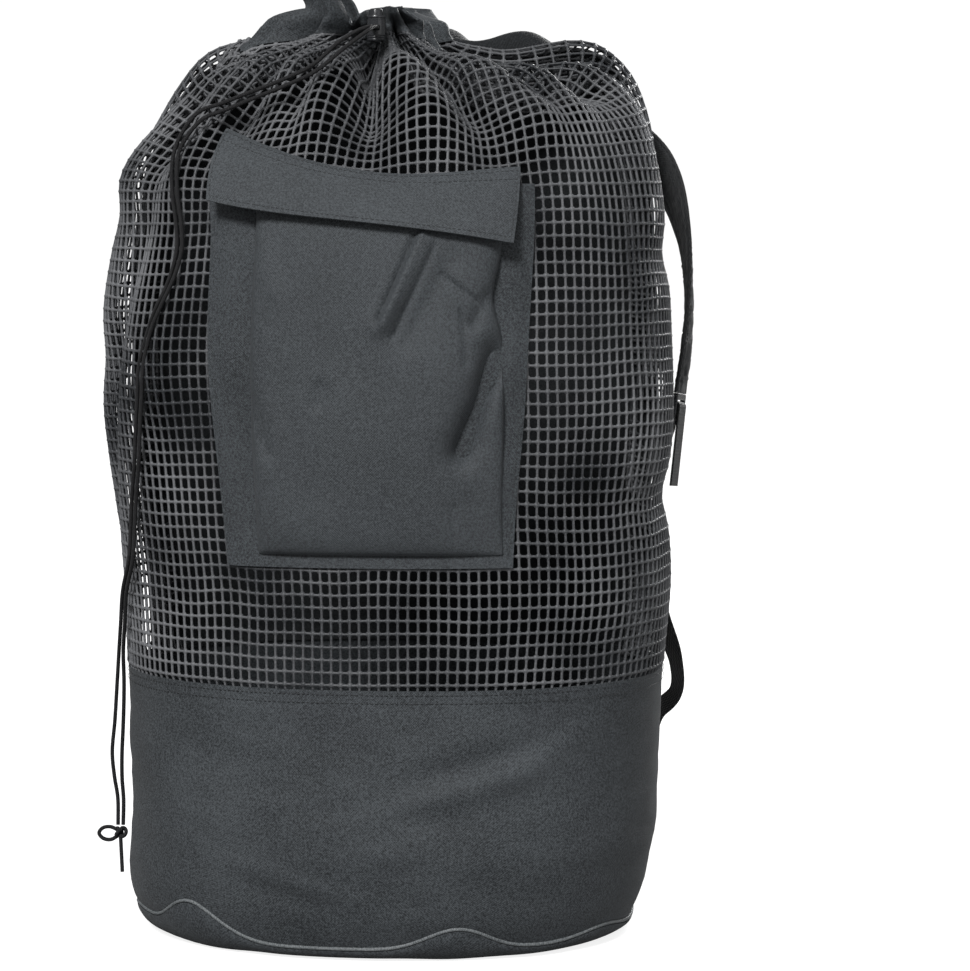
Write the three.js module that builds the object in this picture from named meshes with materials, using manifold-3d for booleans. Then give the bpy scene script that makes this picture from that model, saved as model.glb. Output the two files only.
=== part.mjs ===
// A mesh dive gear bag: an oval drawstring sack with a cloth foot, a net body, a flapped front
// pocket, a gathered mouth with a cord lock, and two shoulder straps on its back.
// Millimetres, +Z up. The front faces -Y, and the origin is the middle of the flat base.
import * as THREE from "three";
import { mergeVertices } from "three/addons/utils/BufferGeometryUtils.js";
import Module from "manifold-3d";

const wasm = await Module();
wasm.setup();

// Sizes of the sack
const halfWidth = 215;
const halfDepth = 149;
const cornerPower = 2.3;
const bandHeight = 203;
const sideHeight = 373;
const shoulderRise = 100;
const hemHeight = 40;
const neckRadius = 46;
const pleatDepth = 13;
const clothWall = 1.6;
const netWall = 2;
const seamGap = 0.3;
const layGap = 0.7;
const neckHeight = bandHeight + sideHeight + shoulderRise;

// Sizes of the foot
const footShare = 0.86;
const seamHeight = 10;
const seamHump = 28;
const pipingRadius = 2;

// Sizes of the front pocket
const patchTopWidth = 244;
const patchBottomWidth = 212;
const patchShift = 3;
const patchRise = 89;
const patchBottom = bandHeight + patchRise;
const patchHeight = 274;
const pocketWidth = 178;
const pocketShift = 9;
const pocketMargin = 10;
const pocketBottom = patchBottom + pocketMargin;
const pocketHeight = 250;
const pocketDepth = 15;
const pocketMouthShare = 0.45;
const flapWidth = 222;
const flapSlant = 8;
const flapHeight = 56;
const flapRise = 231;
const flapBottom = patchBottom + flapRise;
const flapStand = 19;

// Sizes of the drawcord and its lock
const cordDiameter = 3;
const lockRadius = 7;
const lockHeight = 19;
const lockWall = 1.6;
const lockLift = 6;
const plungerRise = 5;
const plungerTravel = 4;
const slideGap = 0.3;
const knotRadius = 5.5;

// Sizes of the shoulder straps
const padWidth = 46;
const padThickness = 5;
const webWidth = 25;
const webThickness = 1.6;
const buckleWidth = 33;
const buckleThickness = 4;
const barHeight = 5;
const slotHeight = 5;
const tailLength = 62;
const yokeWidth = 112;
const yokeHeight = 50;
const yokeDrop = 78;
const yokeBottom = neckHeight - yokeDrop;
const yokeThickness = 3;
const strapBow = 22;
const anchorDrop = 59;
const anchorHeight = bandHeight - anchorDrop;
const anchorRound = 0.2;
const anchorLead = 12;
const anchorLap = 16;
const webLead = 4;
const tailLean = 2;

// Sections of the sack from the bottom seam to the top of the hem. Rise and tilts are shares of the
// zone's height, and the reaches are shares of the half width or half depth, or of the neck radius
// in the hem zone. Pleat and crease are shares of their depths.
const SECTION_COLUMNS = [
  "zone", "rise", "tiltRight", "tiltBack", "front", "right", "back", "left", "pleat", "crease",
];
const SECTIONS = [
  ["band", 0.06, 0, 0, 0.93, 0.865, 0.93, 0.9, 0, 0],
  ["band", 0.2, 0, 0, 0.99, 0.915, 0.97, 0.943, 0, 0],
  ["band", 0.5, 0, 0, 1.03, 0.955, 1, 0.93, 0, 0.1],
  ["band", 1, 0, 0, 1.005, 0.972, 0.98, 0.94, 0, 0.3],
  ["side", 0.17, 0, 0, 1, 0.995, 0.96, 0.955, 0, 0.6],
  ["side", 0.345, 0, 0, 0.99, 0.985, 0.953, 0.99, 0, 0.9],
  ["side", 0.54, 0, 0, 1.005, 0.998, 0.966, 1.02, 0, 1],
  ["side", 0.72, 0, 0, 1.005, 0.99, 0.98, 1.015, 0, 1],
  ["side", 0.875, 0, 0, 0.985, 0.98, 0.993, 0.975, 0.06, 0.8],
  ["side", 1, 0.01, 0.01, 0.935, 0.95, 0.993, 0.965, 0.18, 0.5],
  ["shoulder", 0.46, 0.1, 0.12, 0.82, 0.9, 0.94, 0.88, 0.45, 0.3],
  ["shoulder", 0.765, 0.08, 0.16, 0.67, 0.815, 0.82, 0.785, 0.7, 0],
  ["shoulder", 0.95, 0.03, 0.12, 0.52, 0.69, 0.65, 0.655, 0.75, 0],
  ["shoulder", 0.99, -0.04, 0.06, 0.37, 0.42, 0.43, 0.43, 0.5, 0],
  ["hem", 0.15, 0, 0.04, 0.98, 1.02, 1, 0.9, 0.55, 0],
  ["hem", 0.48, 0.02, 0.08, 0.98, 0.93, 1.05, 1.05, 0.75, 0],
  ["hem", 0.82, -0.06, 0.1, 1.05, 0.85, 1.1, 1.4, 0.7, 0],
].map((row) => Object.fromEntries(row.map((value, i) => [SECTION_COLUMNS[i], value])));
const BAND_TOP = SECTIONS.findIndex((row) => row.zone === "side") - 1;
const NECK = SECTIONS.findIndex((row) => row.zone === "hem");
const HEM_TOP = SECTIONS.length - 1;

// Pleats round the mouth, from the front middle towards the right. Width is a share of the girth,
// and height a share of the pleat depth.
const PLEATS = [
  { width: 0.09, height: 1.15 },
  { width: 0.09, height: 1.1 },
  { width: 0.075, height: 0.9 },
  { width: 0.08, height: 1 },
  { width: 0.08, height: 0.85 },
  { width: 0.085, height: 0.95 },
  { width: 0.09, height: 1 },
  { width: 0.09, height: 0.9 },
  { width: 0.085, height: 1 },
  { width: 0.075, height: 0.95 },
  { width: 0.07, height: 0.9 },
  { width: 0.09, height: 1.1 },
];
const NET_PLEATS_RIGHT = 4;
const NET_PLEATS_LEFT = 4;

// Dents and bulges of the wall. Turn and breadth are shares of the girth, height and tall are shares
// of the side height above the band, and push is in shares of the dent depth, outwards if positive.
const dentDepth = 9;
const DENTS = [
  { turn: -0.24, height: 0.93, breadth: 0.05, tall: 0.05, push: -0.7 },
  { turn: -0.25, height: 0.63, breadth: 0.05, tall: 0.06, push: -0.5 },
  { turn: -0.13, height: 0.62, breadth: 0.035, tall: 0.1, push: 0.8 },
  { turn: 0.25, height: 0.84, breadth: 0.06, tall: 0.05, push: -0.6 },
  { turn: 0.25, height: 0.35, breadth: 0.08, tall: 0.05, push: -0.6 },
  { turn: 0.19, height: 0.5, breadth: 0.05, tall: 0.12, push: 0.4 },
  { turn: 0.12, height: -0.35, breadth: 0.09, tall: 0.07, push: 0.5 },
];
const creaseDepth = 10;
const creaseBreadth = 0.014;
const creaseTop = -0.155;
const creaseFoot = -0.245;

// The oval's angle at each share of the girth, measured along the oval itself
const OVAL_STEPS = 720;
const signedPower = (value) => Math.sign(value) * Math.abs(value) ** (2 / cornerPower);
const ovalX = (angle) => signedPower(Math.sin(angle));
const ovalY = (angle) => -signedPower(Math.cos(angle));
const ovalLengths = [0];
for (let i = 0; i < OVAL_STEPS; i++) {
  const [a, b] = [i, i + 1].map((k) => (2 * Math.PI * k) / OVAL_STEPS);
  const along = halfWidth * (ovalX(b) - ovalX(a));
  const across = halfDepth * (ovalY(b) - ovalY(a));
  ovalLengths.push(ovalLengths[i] + Math.hypot(along, across));
}
const girth = ovalLengths[OVAL_STEPS];

function angleOf(turn) {
  const length = (turn - Math.floor(turn)) * girth;
  let low = 0;
  let high = OVAL_STEPS;
  while (high - low > 1) {
    const middle = (low + high) >> 1;
    if (ovalLengths[middle] > length) high = middle;
    else low = middle;
  }
  const share = (length - ovalLengths[low]) / (ovalLengths[high] - ovalLengths[low]);
  return (2 * Math.PI * (low + share)) / OVAL_STEPS;
}

// A section in millimetres, and a smooth blend of the sections at any row between them
const ZONES = {
  band: { start: 0, height: bandHeight, width: halfWidth, depth: halfDepth },
  side: { start: bandHeight, height: sideHeight, width: halfWidth, depth: halfDepth },
  shoulder: {
    start: bandHeight + sideHeight, height: shoulderRise, width: halfWidth, depth: halfDepth,
  },
  hem: {
    start: neckHeight,
    height: hemHeight,
    width: neckRadius,
    depth: neckRadius,
  },
};
const sized = SECTIONS.map((row) => {
  const zone = ZONES[row.zone];
  return {
    z: zone.start + zone.height * row.rise,
    tiltRight: zone.height * row.tiltRight,
    tiltBack: zone.height * row.tiltBack,
    front: zone.depth * row.front,
    right: zone.width * row.right,
    back: zone.depth * row.back,
    left: zone.width * row.left,
    pleat: pleatDepth * row.pleat,
    crease: creaseDepth * row.crease,
  };
});

function sectionAt(row) {
  const at = Math.min(Math.max(Math.floor(row), 0), HEM_TOP - 1);
  const t = row - at;
  const [a, b, c, d] = [at - 1, at, at + 1, at + 2].map(
    (i) => sized[Math.min(Math.max(i, 0), HEM_TOP)],
  );
  return Object.fromEntries(
    Object.keys(b).map((key) => [
      key,
      b[key] +
        0.5 * t * (c[key] - a[key] +
          t * (2 * a[key] - 5 * b[key] + 4 * c[key] - d[key] +
            t * (3 * (b[key] - c[key]) + d[key] - a[key]))),
    ]),
  );
}

function plainWall(turn, row) {
  const s = sectionAt(row);
  const angle = angleOf(turn);
  const [across, along] = [ovalX(angle), ovalY(angle)];
  return new THREE.Vector3(
    across * (across > 0 ? s.right : s.left),
    along * (along > 0 ? s.back : s.front),
    s.z + s.tiltRight * Math.sin(angle) - s.tiltBack * Math.cos(angle),
  );
}

// Outward normal of a wall given as a function of turn and row
const TURN_STEP = 0.002;
const ROW_STEP = 0.02;
function normalOf(surface, turn, row) {
  const around = surface(turn + TURN_STEP, row).sub(surface(turn - TURN_STEP, row));
  const up = surface(turn, row + ROW_STEP).sub(surface(turn, row - ROW_STEP));
  return around.cross(up).normalize();
}

function pleatWave(turn) {
  let left = turn - Math.floor(turn);
  const pleat = PLEATS.find((p) => (left -= p.width) < 0) ?? PLEATS[PLEATS.length - 1];
  const phase = 1 + left / pleat.width;
  return -Math.cos(2 * Math.PI * phase) * pleat.height;
}

const nearest = (difference) => difference - Math.round(difference);
const bell = (value) => Math.exp(-value * value);
const clamp = (value, low, high) => Math.min(Math.max(value, low), high);

// How far the dents and the crease move the wall outwards at a place on it
function dentPush(turn, row) {
  const height = (plainWall(turn, row).z - bandHeight) / sideHeight;
  const creaseTurn = creaseFoot + (creaseTop - creaseFoot) * clamp(height, 0, 1);
  let push = -sectionAt(row).crease * bell(nearest(turn - creaseTurn) / creaseBreadth);
  for (const dent of DENTS) {
    const round = bell(nearest(turn - dent.turn) / dent.breadth);
    push += dentDepth * dent.push * round * bell((height - dent.height) / dent.tall);
  }
  return push;
}

// Pleats stand off along the wall's normal, which turns level towards the neck and the hem
function wall(turn, row) {
  const way = normalOf(plainWall, turn, row);
  const point = plainWall(turn, row).addScaledVector(way, dentPush(turn, row));
  way.z *= clamp((NECK - row) / 2, 0, 1);
  return point.addScaledVector(way.normalize(), sectionAt(row).pleat * pleatWave(turn));
}

function rowAtHeight(turn, height) {
  let [low, high] = [0, NECK - 2];
  for (let i = 0; i < 30; i++) {
    const middle = (low + high) / 2;
    if (plainWall(turn, middle).z < height) low = middle;
    else high = middle;
  }
  return (low + high) / 2;
}

// A place that lies over the pleats, from its arc from the front middle, its height, and how far it
// stands off the wall's outer face
const tallestPleat = Math.max(...PLEATS.map((pleat) => pleat.height));
function onWall(arc, height, off) {
  const turn = arc / girth;
  const row = rowAtHeight(turn, height);
  const over = netWall / 2 + sectionAt(row).pleat * tallestPleat + dentPush(turn, row) + off;
  return plainWall(turn, row).addScaledVector(normalOf(plainWall, turn, row), over);
}

// Solids. A loft joins closed loops of points, and either ends in two caps or runs round in a ring.
function loft(loops, ring = false) {
  const count = loops[0].length;
  const at = (i, k) => (i % loops.length) * count + (k % count);
  const triangles = [];
  const quad = (a, b, c, d) => triangles.push([a, b, c], [a, c, d]);
  const last = ring ? loops.length : loops.length - 1;
  for (let i = 0; i < last; i++)
    for (let k = 0; k < count; k++) quad(at(i, k), at(i + 1, k), at(i + 1, k + 1), at(i, k + 1));
  if (!ring)
    for (let k = 0; k < count / 2 - 1; k++) {
      const [a, b, c, d] = [k, k + 1, count - 2 - k, count - 1 - k];
      const end = loops.length - 1;
      quad(at(0, a), at(0, b), at(0, c), at(0, d));
      quad(at(end, d), at(end, c), at(end, b), at(end, a));
    }
  const flat = loops.flat().flatMap((p) => [p.x, p.y, p.z]);
  let geometry = new THREE.BufferGeometry();
  geometry.setAttribute("position", new THREE.Float32BufferAttribute(flat, 3));
  geometry.setIndex(triangles.flat());
  geometry = mergeVertices(geometry, 1e-3);
  return facingOut(geometry);
}

// Drops triangles that have shrunk to a line, and turns the faces outwards
function facingOut(geometry) {
  const position = geometry.getAttribute("position");
  const point = (i) => new THREE.Vector3().fromBufferAttribute(position, i);
  const kept = [];
  let volume = 0;
  for (let i = 0; i < geometry.index.count; i += 3) {
    const [a, b, c] = [0, 1, 2].map((k) => geometry.index.getX(i + k));
    if (a === b || b === c || a === c) continue;
    kept.push([a, b, c]);
    volume += point(a).dot(point(b).cross(point(c)));
  }
  geometry.setIndex(kept.flatMap(([a, b, c]) => (volume < 0 ? [a, c, b] : [a, b, c])));
  geometry.computeVertexNormals();
  return geometry;
}

// A cloth sheet over a surface(u, v), with its thickness shared between both sides. Each loop runs
// along v on the outside and back on the inside.
function sheet(surface, across, along, thickness, ring = false) {
  const step = 1e-3;
  const loops = across.map((u) => {
    const sides = along.map((v) => {
      const du = surface(u + step, v).sub(surface(u - step, v));
      const dv = surface(u, v + step).sub(surface(u, v - step));
      const normal = du.cross(dv).normalize();
      const middle = surface(u, v);
      return [1, -1].map((side) =>
        middle.clone().addScaledVector(normal, (side * thickness) / 2));
    });
    return [...sides.map(([outer]) => outer), ...sides.map(([, inner]) => inner).reverse()];
  });
  return loft(loops, ring);
}

const range = (count, from = 0, to = 1) =>
  Array.from({ length: count + 1 }, (_, i) => from + ((to - from) * i) / count);

// A round cord along a curve
function tube(points, diameter, sides, steps) {
  const ring = new THREE.Shape();
  for (let k = 0; k < sides; k++) {
    const angle = (2 * Math.PI * k) / sides;
    const [x, y] = [Math.cos(angle), Math.sin(angle)].map((value) => (value * diameter) / 2);
    if (k) ring.lineTo(x, y);
    else ring.moveTo(x, y);
  }
  ring.closePath();
  const path = new THREE.CatmullRomCurve3(points, false, "centripetal");
  return new THREE.ExtrudeGeometry(ring, { steps, extrudePath: path, curveSegments: 1 });
}

// Booleans
function toManifold(geometry) {
  const plain = geometry.clone();
  for (const name of ["normal", "uv"]) plain.deleteAttribute(name);
  const merged = facingOut(mergeVertices(plain, 1e-3));
  return new wasm.Manifold(
    new wasm.Mesh({
      numProp: 3,
      vertProperties: new Float32Array(merged.getAttribute("position").array),
      triVerts: new Uint32Array(merged.index.array),
    }),
  );
}

function fromManifold(solid) {
  const mesh = solid.getMesh();
  const geometry = new THREE.BufferGeometry();
  geometry.setAttribute("position", new THREE.BufferAttribute(mesh.vertProperties, 3));
  geometry.setIndex(new THREE.BufferAttribute(mesh.triVerts, 1));
  geometry.computeVertexNormals();
  return geometry;
}

const MATERIALS = {
  net: { color: 0x2b2d2f, roughness: 0.75, metalness: 0 },
  cloth: { color: 0x232628, roughness: 0.85, metalness: 0 },
  trim: { color: 0x3c4042, roughness: 0.6, metalness: 0 },
  webbing: { color: 0x17181a, roughness: 0.8, metalness: 0 },
  cord: { color: 0x0c0c0d, roughness: 0.6, metalness: 0 },
  plastic: { color: 0x1c1e20, roughness: 0.35, metalness: 0 },
};

const bagGroup = new THREE.Group();
function add(name, geometry, finish, parent = bagGroup) {
  const mesh = new THREE.Mesh(geometry, new THREE.MeshStandardMaterial(MATERIALS[finish]));
  mesh.name = name;
  parent.add(mesh);
  return mesh;
}

// The turns where the net ends and the back panel begins, each at the bottom of a pleat
const sumWidths = (pleats) => pleats.reduce((sum, pleat) => sum + pleat.width, 0);
const netRight = sumWidths(PLEATS.slice(0, NET_PLEATS_RIGHT));
const netLeft = -sumWidths(PLEATS.slice(-NET_PLEATS_LEFT));
const PLEAT_SAMPLES = 5;
const pleatTurns = PLEATS.flatMap((pleat, i) => {
  const start = sumWidths(PLEATS.slice(0, i));
  return range(PLEAT_SAMPLES - 1, 0.5, PLEAT_SAMPLES - 0.5).map(
    (k) => start + (pleat.width * k) / PLEAT_SAMPLES);
});
const between = (from, to) =>
  [...pleatTurns.map((turn) => turn - 1), ...pleatTurns].filter((turn) => turn > from && turn < to);

// The bottom seam wanders up in humps, as a share of the hump's height. The base rolls up to meet it.
const FOOT_STEPS = 40;
const footTurns = range(FOOT_STEPS).slice(0, -1);
const SEAM_HUMPS = [
  { turn: -0.128, breadth: 0.03, rise: 1 },
  { turn: 0.062, breadth: 0.03, rise: 0.6 },
  { turn: -0.2, breadth: 0.04, rise: 0.4 },
  { turn: 0.18, breadth: 0.03, rise: 0.25 },
  { turn: 0.36, breadth: 0.05, rise: 0.5 },
  { turn: -0.37, breadth: 0.05, rise: 0.7 },
];

function seamPoint(turn, up) {
  const humps = SEAM_HUMPS.reduce(
    (sum, hump) => sum + hump.rise * bell(nearest(turn - hump.turn) / hump.breadth), 0);
  const height = seamHeight + seamHump * humps;
  const point = plainWall(turn, rowAtHeight(turn, height));
  point.z = height + up;
  return point;
}

function footPoint(turn, share) {
  const seam = seamPoint(turn, -pipingRadius - seamGap);
  const lift = clamp((share - footShare) / (1 - footShare), 0, 1);
  const out = lift > 0 ? footShare + (1 - footShare) * Math.sin((lift * Math.PI) / 2) : share;
  const height = clothWall / 2 + (seam.z - clothWall / 2) * (1 - Math.cos((lift * Math.PI) / 2));
  return new THREE.Vector3(seam.x * out, seam.y * out, height);
}

function addFoot() {
  const shares = [0, footShare, 0.45, 0.8, 1].map((lift, i) =>
    i < 2 ? lift : footShare + (1 - footShare) * lift);
  const loops = footTurns.map((turn) => {
    const sides = shares.map((share) => {
      const middle = footPoint(turn, share);
      const normal = share > footShare
        ? normalOf(footPoint, turn, Math.min(share, 1 - ROW_STEP)) : new THREE.Vector3(0, 0, -1);
      return [1, -1].map((side) => middle.clone().addScaledVector(normal, (side * clothWall) / 2));
    });
    return [...sides.map(([outer]) => outer), ...sides.map(([, inner]) => inner).reverse()];
  });
  add("base_panel", loft(loops, true), "cloth");
}

function addPiping() {
  const sides = 6;
  const loops = footTurns.map((turn) => {
    const seam = seamPoint(turn, 0);
    const out = new THREE.Vector3(seam.x, seam.y, 0).normalize();
    return range(sides).slice(0, -1).map((share) =>
      seam.clone()
        .addScaledVector(out, pipingRadius * Math.cos(2 * Math.PI * share))
        .add(new THREE.Vector3(0, 0, pipingRadius * Math.sin(2 * Math.PI * share))));
  });
  add("bottom_piping", loft(loops, true), "trim");
}

// The cloth band between the bottom seam and the net
function addBand() {
  const band = (turn, share) => {
    const bottom = seamPoint(turn, pipingRadius + seamGap);
    const height = bottom.z + (bandHeight - bottom.z) * share;
    const point = wall(turn, rowAtHeight(turn, height));
    point.z = height;
    return point;
  };
  add("lower_band", sheet(band, footTurns, [0, 0.1, 0.4, 0.7, 1], clothWall, true), "cloth");
}

// The net round the front and sides, the cloth panel at the back, and the hem above them
function addBody() {
  const start = BAND_TOP + seamGap / (sized[BAND_TOP + 1].z - sized[BAND_TOP].z);
  const rows = [start, ...range(5, 4, 9), ...range(2 * (NECK - 10), 10, NECK)];
  const edge = (seamGap + netWall) / (2 * girth);
  const strip = (from, to) => [from + edge, ...between(from + 2 * edge, to - 2 * edge), to - edge];
  add("net_body", sheet(wall, strip(netLeft, netRight), rows, netWall), "net");
  add("back_panel", sheet(wall, strip(netRight, netLeft + 1), rows, clothWall), "cloth");
  const hemGap = (2 * layGap) / (sized[NECK + 1].z - sized[NECK].z);
  const hemRows = [NECK + hemGap, ...range(3, NECK + 0.5, HEM_TOP)];
  add("hem_collar", sheet(wall, pleatTurns, hemRows, clothWall, true), "cloth");
}

// The pocket: a cloth patch on the net, a bellows front on the patch, and a flap over its mouth.
// Across runs from -1 at the left edge to 1 at the right, and up from 0 at the foot to 1.
const patchOff = layGap + clothWall / 2;
const pocketOff = patchOff + clothWall / 2 + layGap;

function addPatch() {
  const patch = (across, up) => {
    const half = (patchBottomWidth + (patchTopWidth - patchBottomWidth) * up) / 2;
    return onWall(across * half + patchShift * up, patchBottom + patchHeight * up, patchOff);
  };
  add("front_patch", sheet(patch, range(10, -1, 1), range(8), clothWall), "cloth");
}

// Folds of the pocket's front, each along a line. Breadth is a share of the pocket's width, and push
// is in shares of its depth.
const POCKET_FOLDS = [
  { from: [0.96, 0.58], to: [0.66, 0.3], breadth: 0.07, push: -0.62 },
  { from: [0.9, 0], to: [0.85, 0.3], breadth: 0.13, push: -0.5 },
  { from: [0.39, 0.88], to: [0.05, 0.66], breadth: 0.045, push: 0.3 },
  { from: [0.6, 0.84], to: [0.25, 0.62], breadth: 0.05, push: -0.2 },
  { from: [-0.9, 0.85], to: [-0.6, 0.2], breadth: 0.12, push: -0.12 },
];

function pocketLift(across, up) {
  const sides = Math.sqrt(Math.max(0, 1 - Math.abs(across) ** 10));
  const foot = Math.sqrt(Math.max(0, 1 - (1 - clamp(up, 0, 1)) ** 18));
  const mouth = 1 - (1 - pocketMouthShare) * clamp(up, 0, 1) ** 6;
  let lift = 1;
  for (const fold of POCKET_FOLDS) {
    const place = ([a, u]) => new THREE.Vector2((a * pocketWidth) / 2, u * pocketHeight);
    const [from, to, here] = [place(fold.from), place(fold.to), place([across, up])];
    const way = to.clone().sub(from);
    const share = clamp(here.clone().sub(from).dot(way) / way.lengthSq(), 0, 1);
    const away = here.distanceTo(from.addScaledVector(way, share));
    lift += fold.push * bell(away / (fold.breadth * pocketWidth));
  }
  return pocketDepth * sides * foot * mouth * lift;
}

function addPocket() {
  const pocket = (across, up) => {
    const arc = pocketShift + (across * pocketWidth) / 2;
    return onWall(arc, pocketBottom + pocketHeight * up, pocketOff + pocketLift(across, up));
  };
  const half = [0.3, 0.55, 0.8, 0.93, 0.985, 1];
  const columns = [...half.map((value) => -value).reverse(), 0, ...half];
  const rows = [0, 0.006, 0.03, ...range(8, 0.12, 1)];
  add("front_pocket", sheet(pocket, columns, rows, clothWall), "cloth");
}

// The flap's edges as shares of its height, above its lowest corner
const FLAP_EDGES = [
  { across: -1, foot: 0.52, top: 1.42 },
  { across: -0.5, foot: 0.36, top: 1.1 },
  { across: 0, foot: 0.26, top: 0.9 },
  { across: 0.5, foot: 0.15, top: 0.89 },
  { across: 1, foot: 0, top: 0.97 },
];

function flapEdge(across, edge) {
  const place = clamp((across + 1) * 2, 0, FLAP_EDGES.length - 1 - 1e-9);
  const at = Math.floor(place);
  const share = place - at;
  const ease = share * share * (3 - 2 * share);
  return FLAP_EDGES[at][edge] * (1 - ease) + FLAP_EDGES[at + 1][edge] * ease;
}

function addFlap() {
  const flap = (across, up) => {
    const [foot, top] = ["foot", "top"].map((edge) => flapBottom + flapHeight * flapEdge(across, edge));
    const off = patchOff + flapStand * (1 - up) ** 0.8;
    const arc = (across * (flapWidth - flapSlant * (1 - up))) / 2 - flapSlant * (0.5 - up);
    return onWall(arc, foot + (top - foot) * up, off);
  };
  add("pocket_flap", sheet(flap, range(12, -1, 1), [0.001, 0.25, 0.5, 0.75, 0.999], clothWall), "cloth");
}

// The cord lock: a barrel open at the top, a push button in it, and a slot through both for the cord
const lockPlace = new THREE.Vector3(-3, -(neckRadius + pleatDepth), neckHeight + lockLift);
const plungerRadius = lockRadius - lockWall - slideGap;
const slotWidth = 2 * cordDiameter + 3 * slideGap;
const slotTall = cordDiameter + 2 * slideGap;

function upright(profile, sides) {
  const points = profile.map(([radius, height]) => new THREE.Vector2(radius, height));
  return new THREE.LatheGeometry(points, sides).rotateX(Math.PI / 2);
}

function addLock() {
  const foot = -lockHeight / 2;
  const bore = lockRadius - lockWall;
  const bevel = 1;
  const barrel = toManifold(upright([
    [0, foot], [lockRadius - bevel, foot], [lockRadius, foot + bevel], [lockRadius, -foot - bevel],
    [lockRadius - bevel / 2, -foot], [bore, -foot], [bore, foot + lockWall], [0, foot + lockWall],
  ], 16));
  const slot = new THREE.BoxGeometry(slotWidth, 3 * lockRadius, slotTall);
  const body = add("cord_lock_body", fromManifold(barrel.subtract(toManifold(slot))), "plastic");
  body.position.copy(lockPlace);

  const rest = foot + lockWall + plungerTravel + slideGap;
  const crown = lockHeight / 2 + plungerRise;
  const button = toManifold(upright([
    [0, rest], [plungerRadius, rest], [plungerRadius, crown - bevel],
    [plungerRadius - bevel, crown], [0, crown],
  ], 16));
  const way = new THREE.BoxGeometry(slotWidth, 3 * lockRadius, slotTall + plungerTravel);
  way.translate(0, 0, plungerTravel / 2);
  const pressed = fromManifold(button.subtract(toManifold(way)));
  add("cord_lock_plunger", pressed, "plastic").position.copy(lockPlace);
}

// A flat strip along rows of places, each with the way its face looks and its own width
function strip(rows, thickness) {
  return rows.map(({ place, face, width }, i) => {
    const before = rows[Math.max(i - 1, 0)].place;
    const after = rows[Math.min(i + 1, rows.length - 1)].place;
    const along = after.clone().sub(before).normalize();
    const out = face.clone().addScaledVector(along, -face.dot(along)).normalize();
    const side = along.clone().cross(out).normalize();
    return [[-1, -1], [-1, 1], [1, 1], [1, -1]].map(([a, b]) =>
      place.clone()
        .addScaledVector(side, (a * width) / 2)
        .addScaledVector(out, (b * thickness) / 2));
  });
}

function smoothRows(rows, steps) {
  const curve = new THREE.CatmullRomCurve3(rows.map((row) => row.place), false, "centripetal");
  return range(steps).map((share) => {
    const at = Math.min(Math.floor(share * (rows.length - 1)), rows.length - 2);
    const part = share * (rows.length - 1) - at;
    return {
      place: curve.getPoint(share),
      face: rows[at].face.clone().lerp(rows[at + 1].face, part),
      width: rows[at].width * (1 - part) + rows[at + 1].width * part,
    };
  });
}

// Shoulder straps, each bowed out past the side of the bag. Round is a share of the girth from the
// middle of the back, up is a share of the neck's height, bow is in shares of the strap's bow, and
// twist turns the strap about its own run, in degrees.
const PAD_ROWS = [
  { round: 0.073, up: 0.921, bow: 0.03, twist: 0, width: 1 },
  { round: 0.104, up: 0.913, bow: 0.12, twist: 0, width: 1 },
  { round: 0.138, up: 0.898, bow: 0.3, twist: 0, width: 1 },
  { round: 0.168, up: 0.873, bow: 0.5, twist: 0, width: 1 },
  { round: 0.19, up: 0.838, bow: 0.7, twist: 5, width: 1 },
  { round: 0.2, up: 0.79, bow: 0.85, twist: 10, width: 1 },
  { round: 0.202, up: 0.735, bow: 0.95, twist: 18, width: 1 },
  { round: 0.202, up: 0.665, bow: 0.85, twist: 28, width: 0.95 },
  { round: 0.202, up: 0.602, bow: 0.55, twist: 34, width: 0.75 },
];
const WEB_ROWS = [
  { round: 0.192, up: 0.48, bow: 0.3, twist: 16 },
  { round: 0.182, up: 0.41, bow: 0.25, twist: 0 },
  { round: 0.188, up: 0.345, bow: 0.45, twist: 0 },
  { round: 0.2, up: 0.29, bow: 0.85, twist: 0 },
  { round: 0.202, up: 0.255, bow: 0.85, twist: 0 },
];
const STRAP_SIDES = [
  { name: "right", sign: 1, spread: 1 },
  { name: "left", sign: -1, spread: 0.86 },
];
const buckleHeight = 3 * barHeight + 2 * slotHeight;
const webOff = buckleThickness / 2 + seamGap + webThickness / 2;

// A strap's row that stands off the wall by its bow
function bowedRow(row, side, width, thickness) {
  const arc = girth * (0.5 - side.sign * side.spread * row.round);
  const height = neckHeight * row.up;
  const place = onWall(arc, height, layGap + thickness / 2 + strapBow * row.bow);
  const face = normalOf(plainWall, arc / girth, rowAtHeight(arc / girth, height));
  const twist = THREE.MathUtils.degToRad(side.sign * row.twist);
  return { place, face: face.applyAxisAngle(new THREE.Vector3(0, 0, 1), -twist), width };
}

function addYoke() {
  const yoke = (across, up) =>
    onWall(girth / 2 - (across * yokeWidth) / 2, yokeBottom + yokeHeight * up, layGap + yokeThickness / 2);
  add("strap_yoke", sheet(yoke, range(10, -1, 1), range(2), yokeThickness), "cloth");
}

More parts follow.
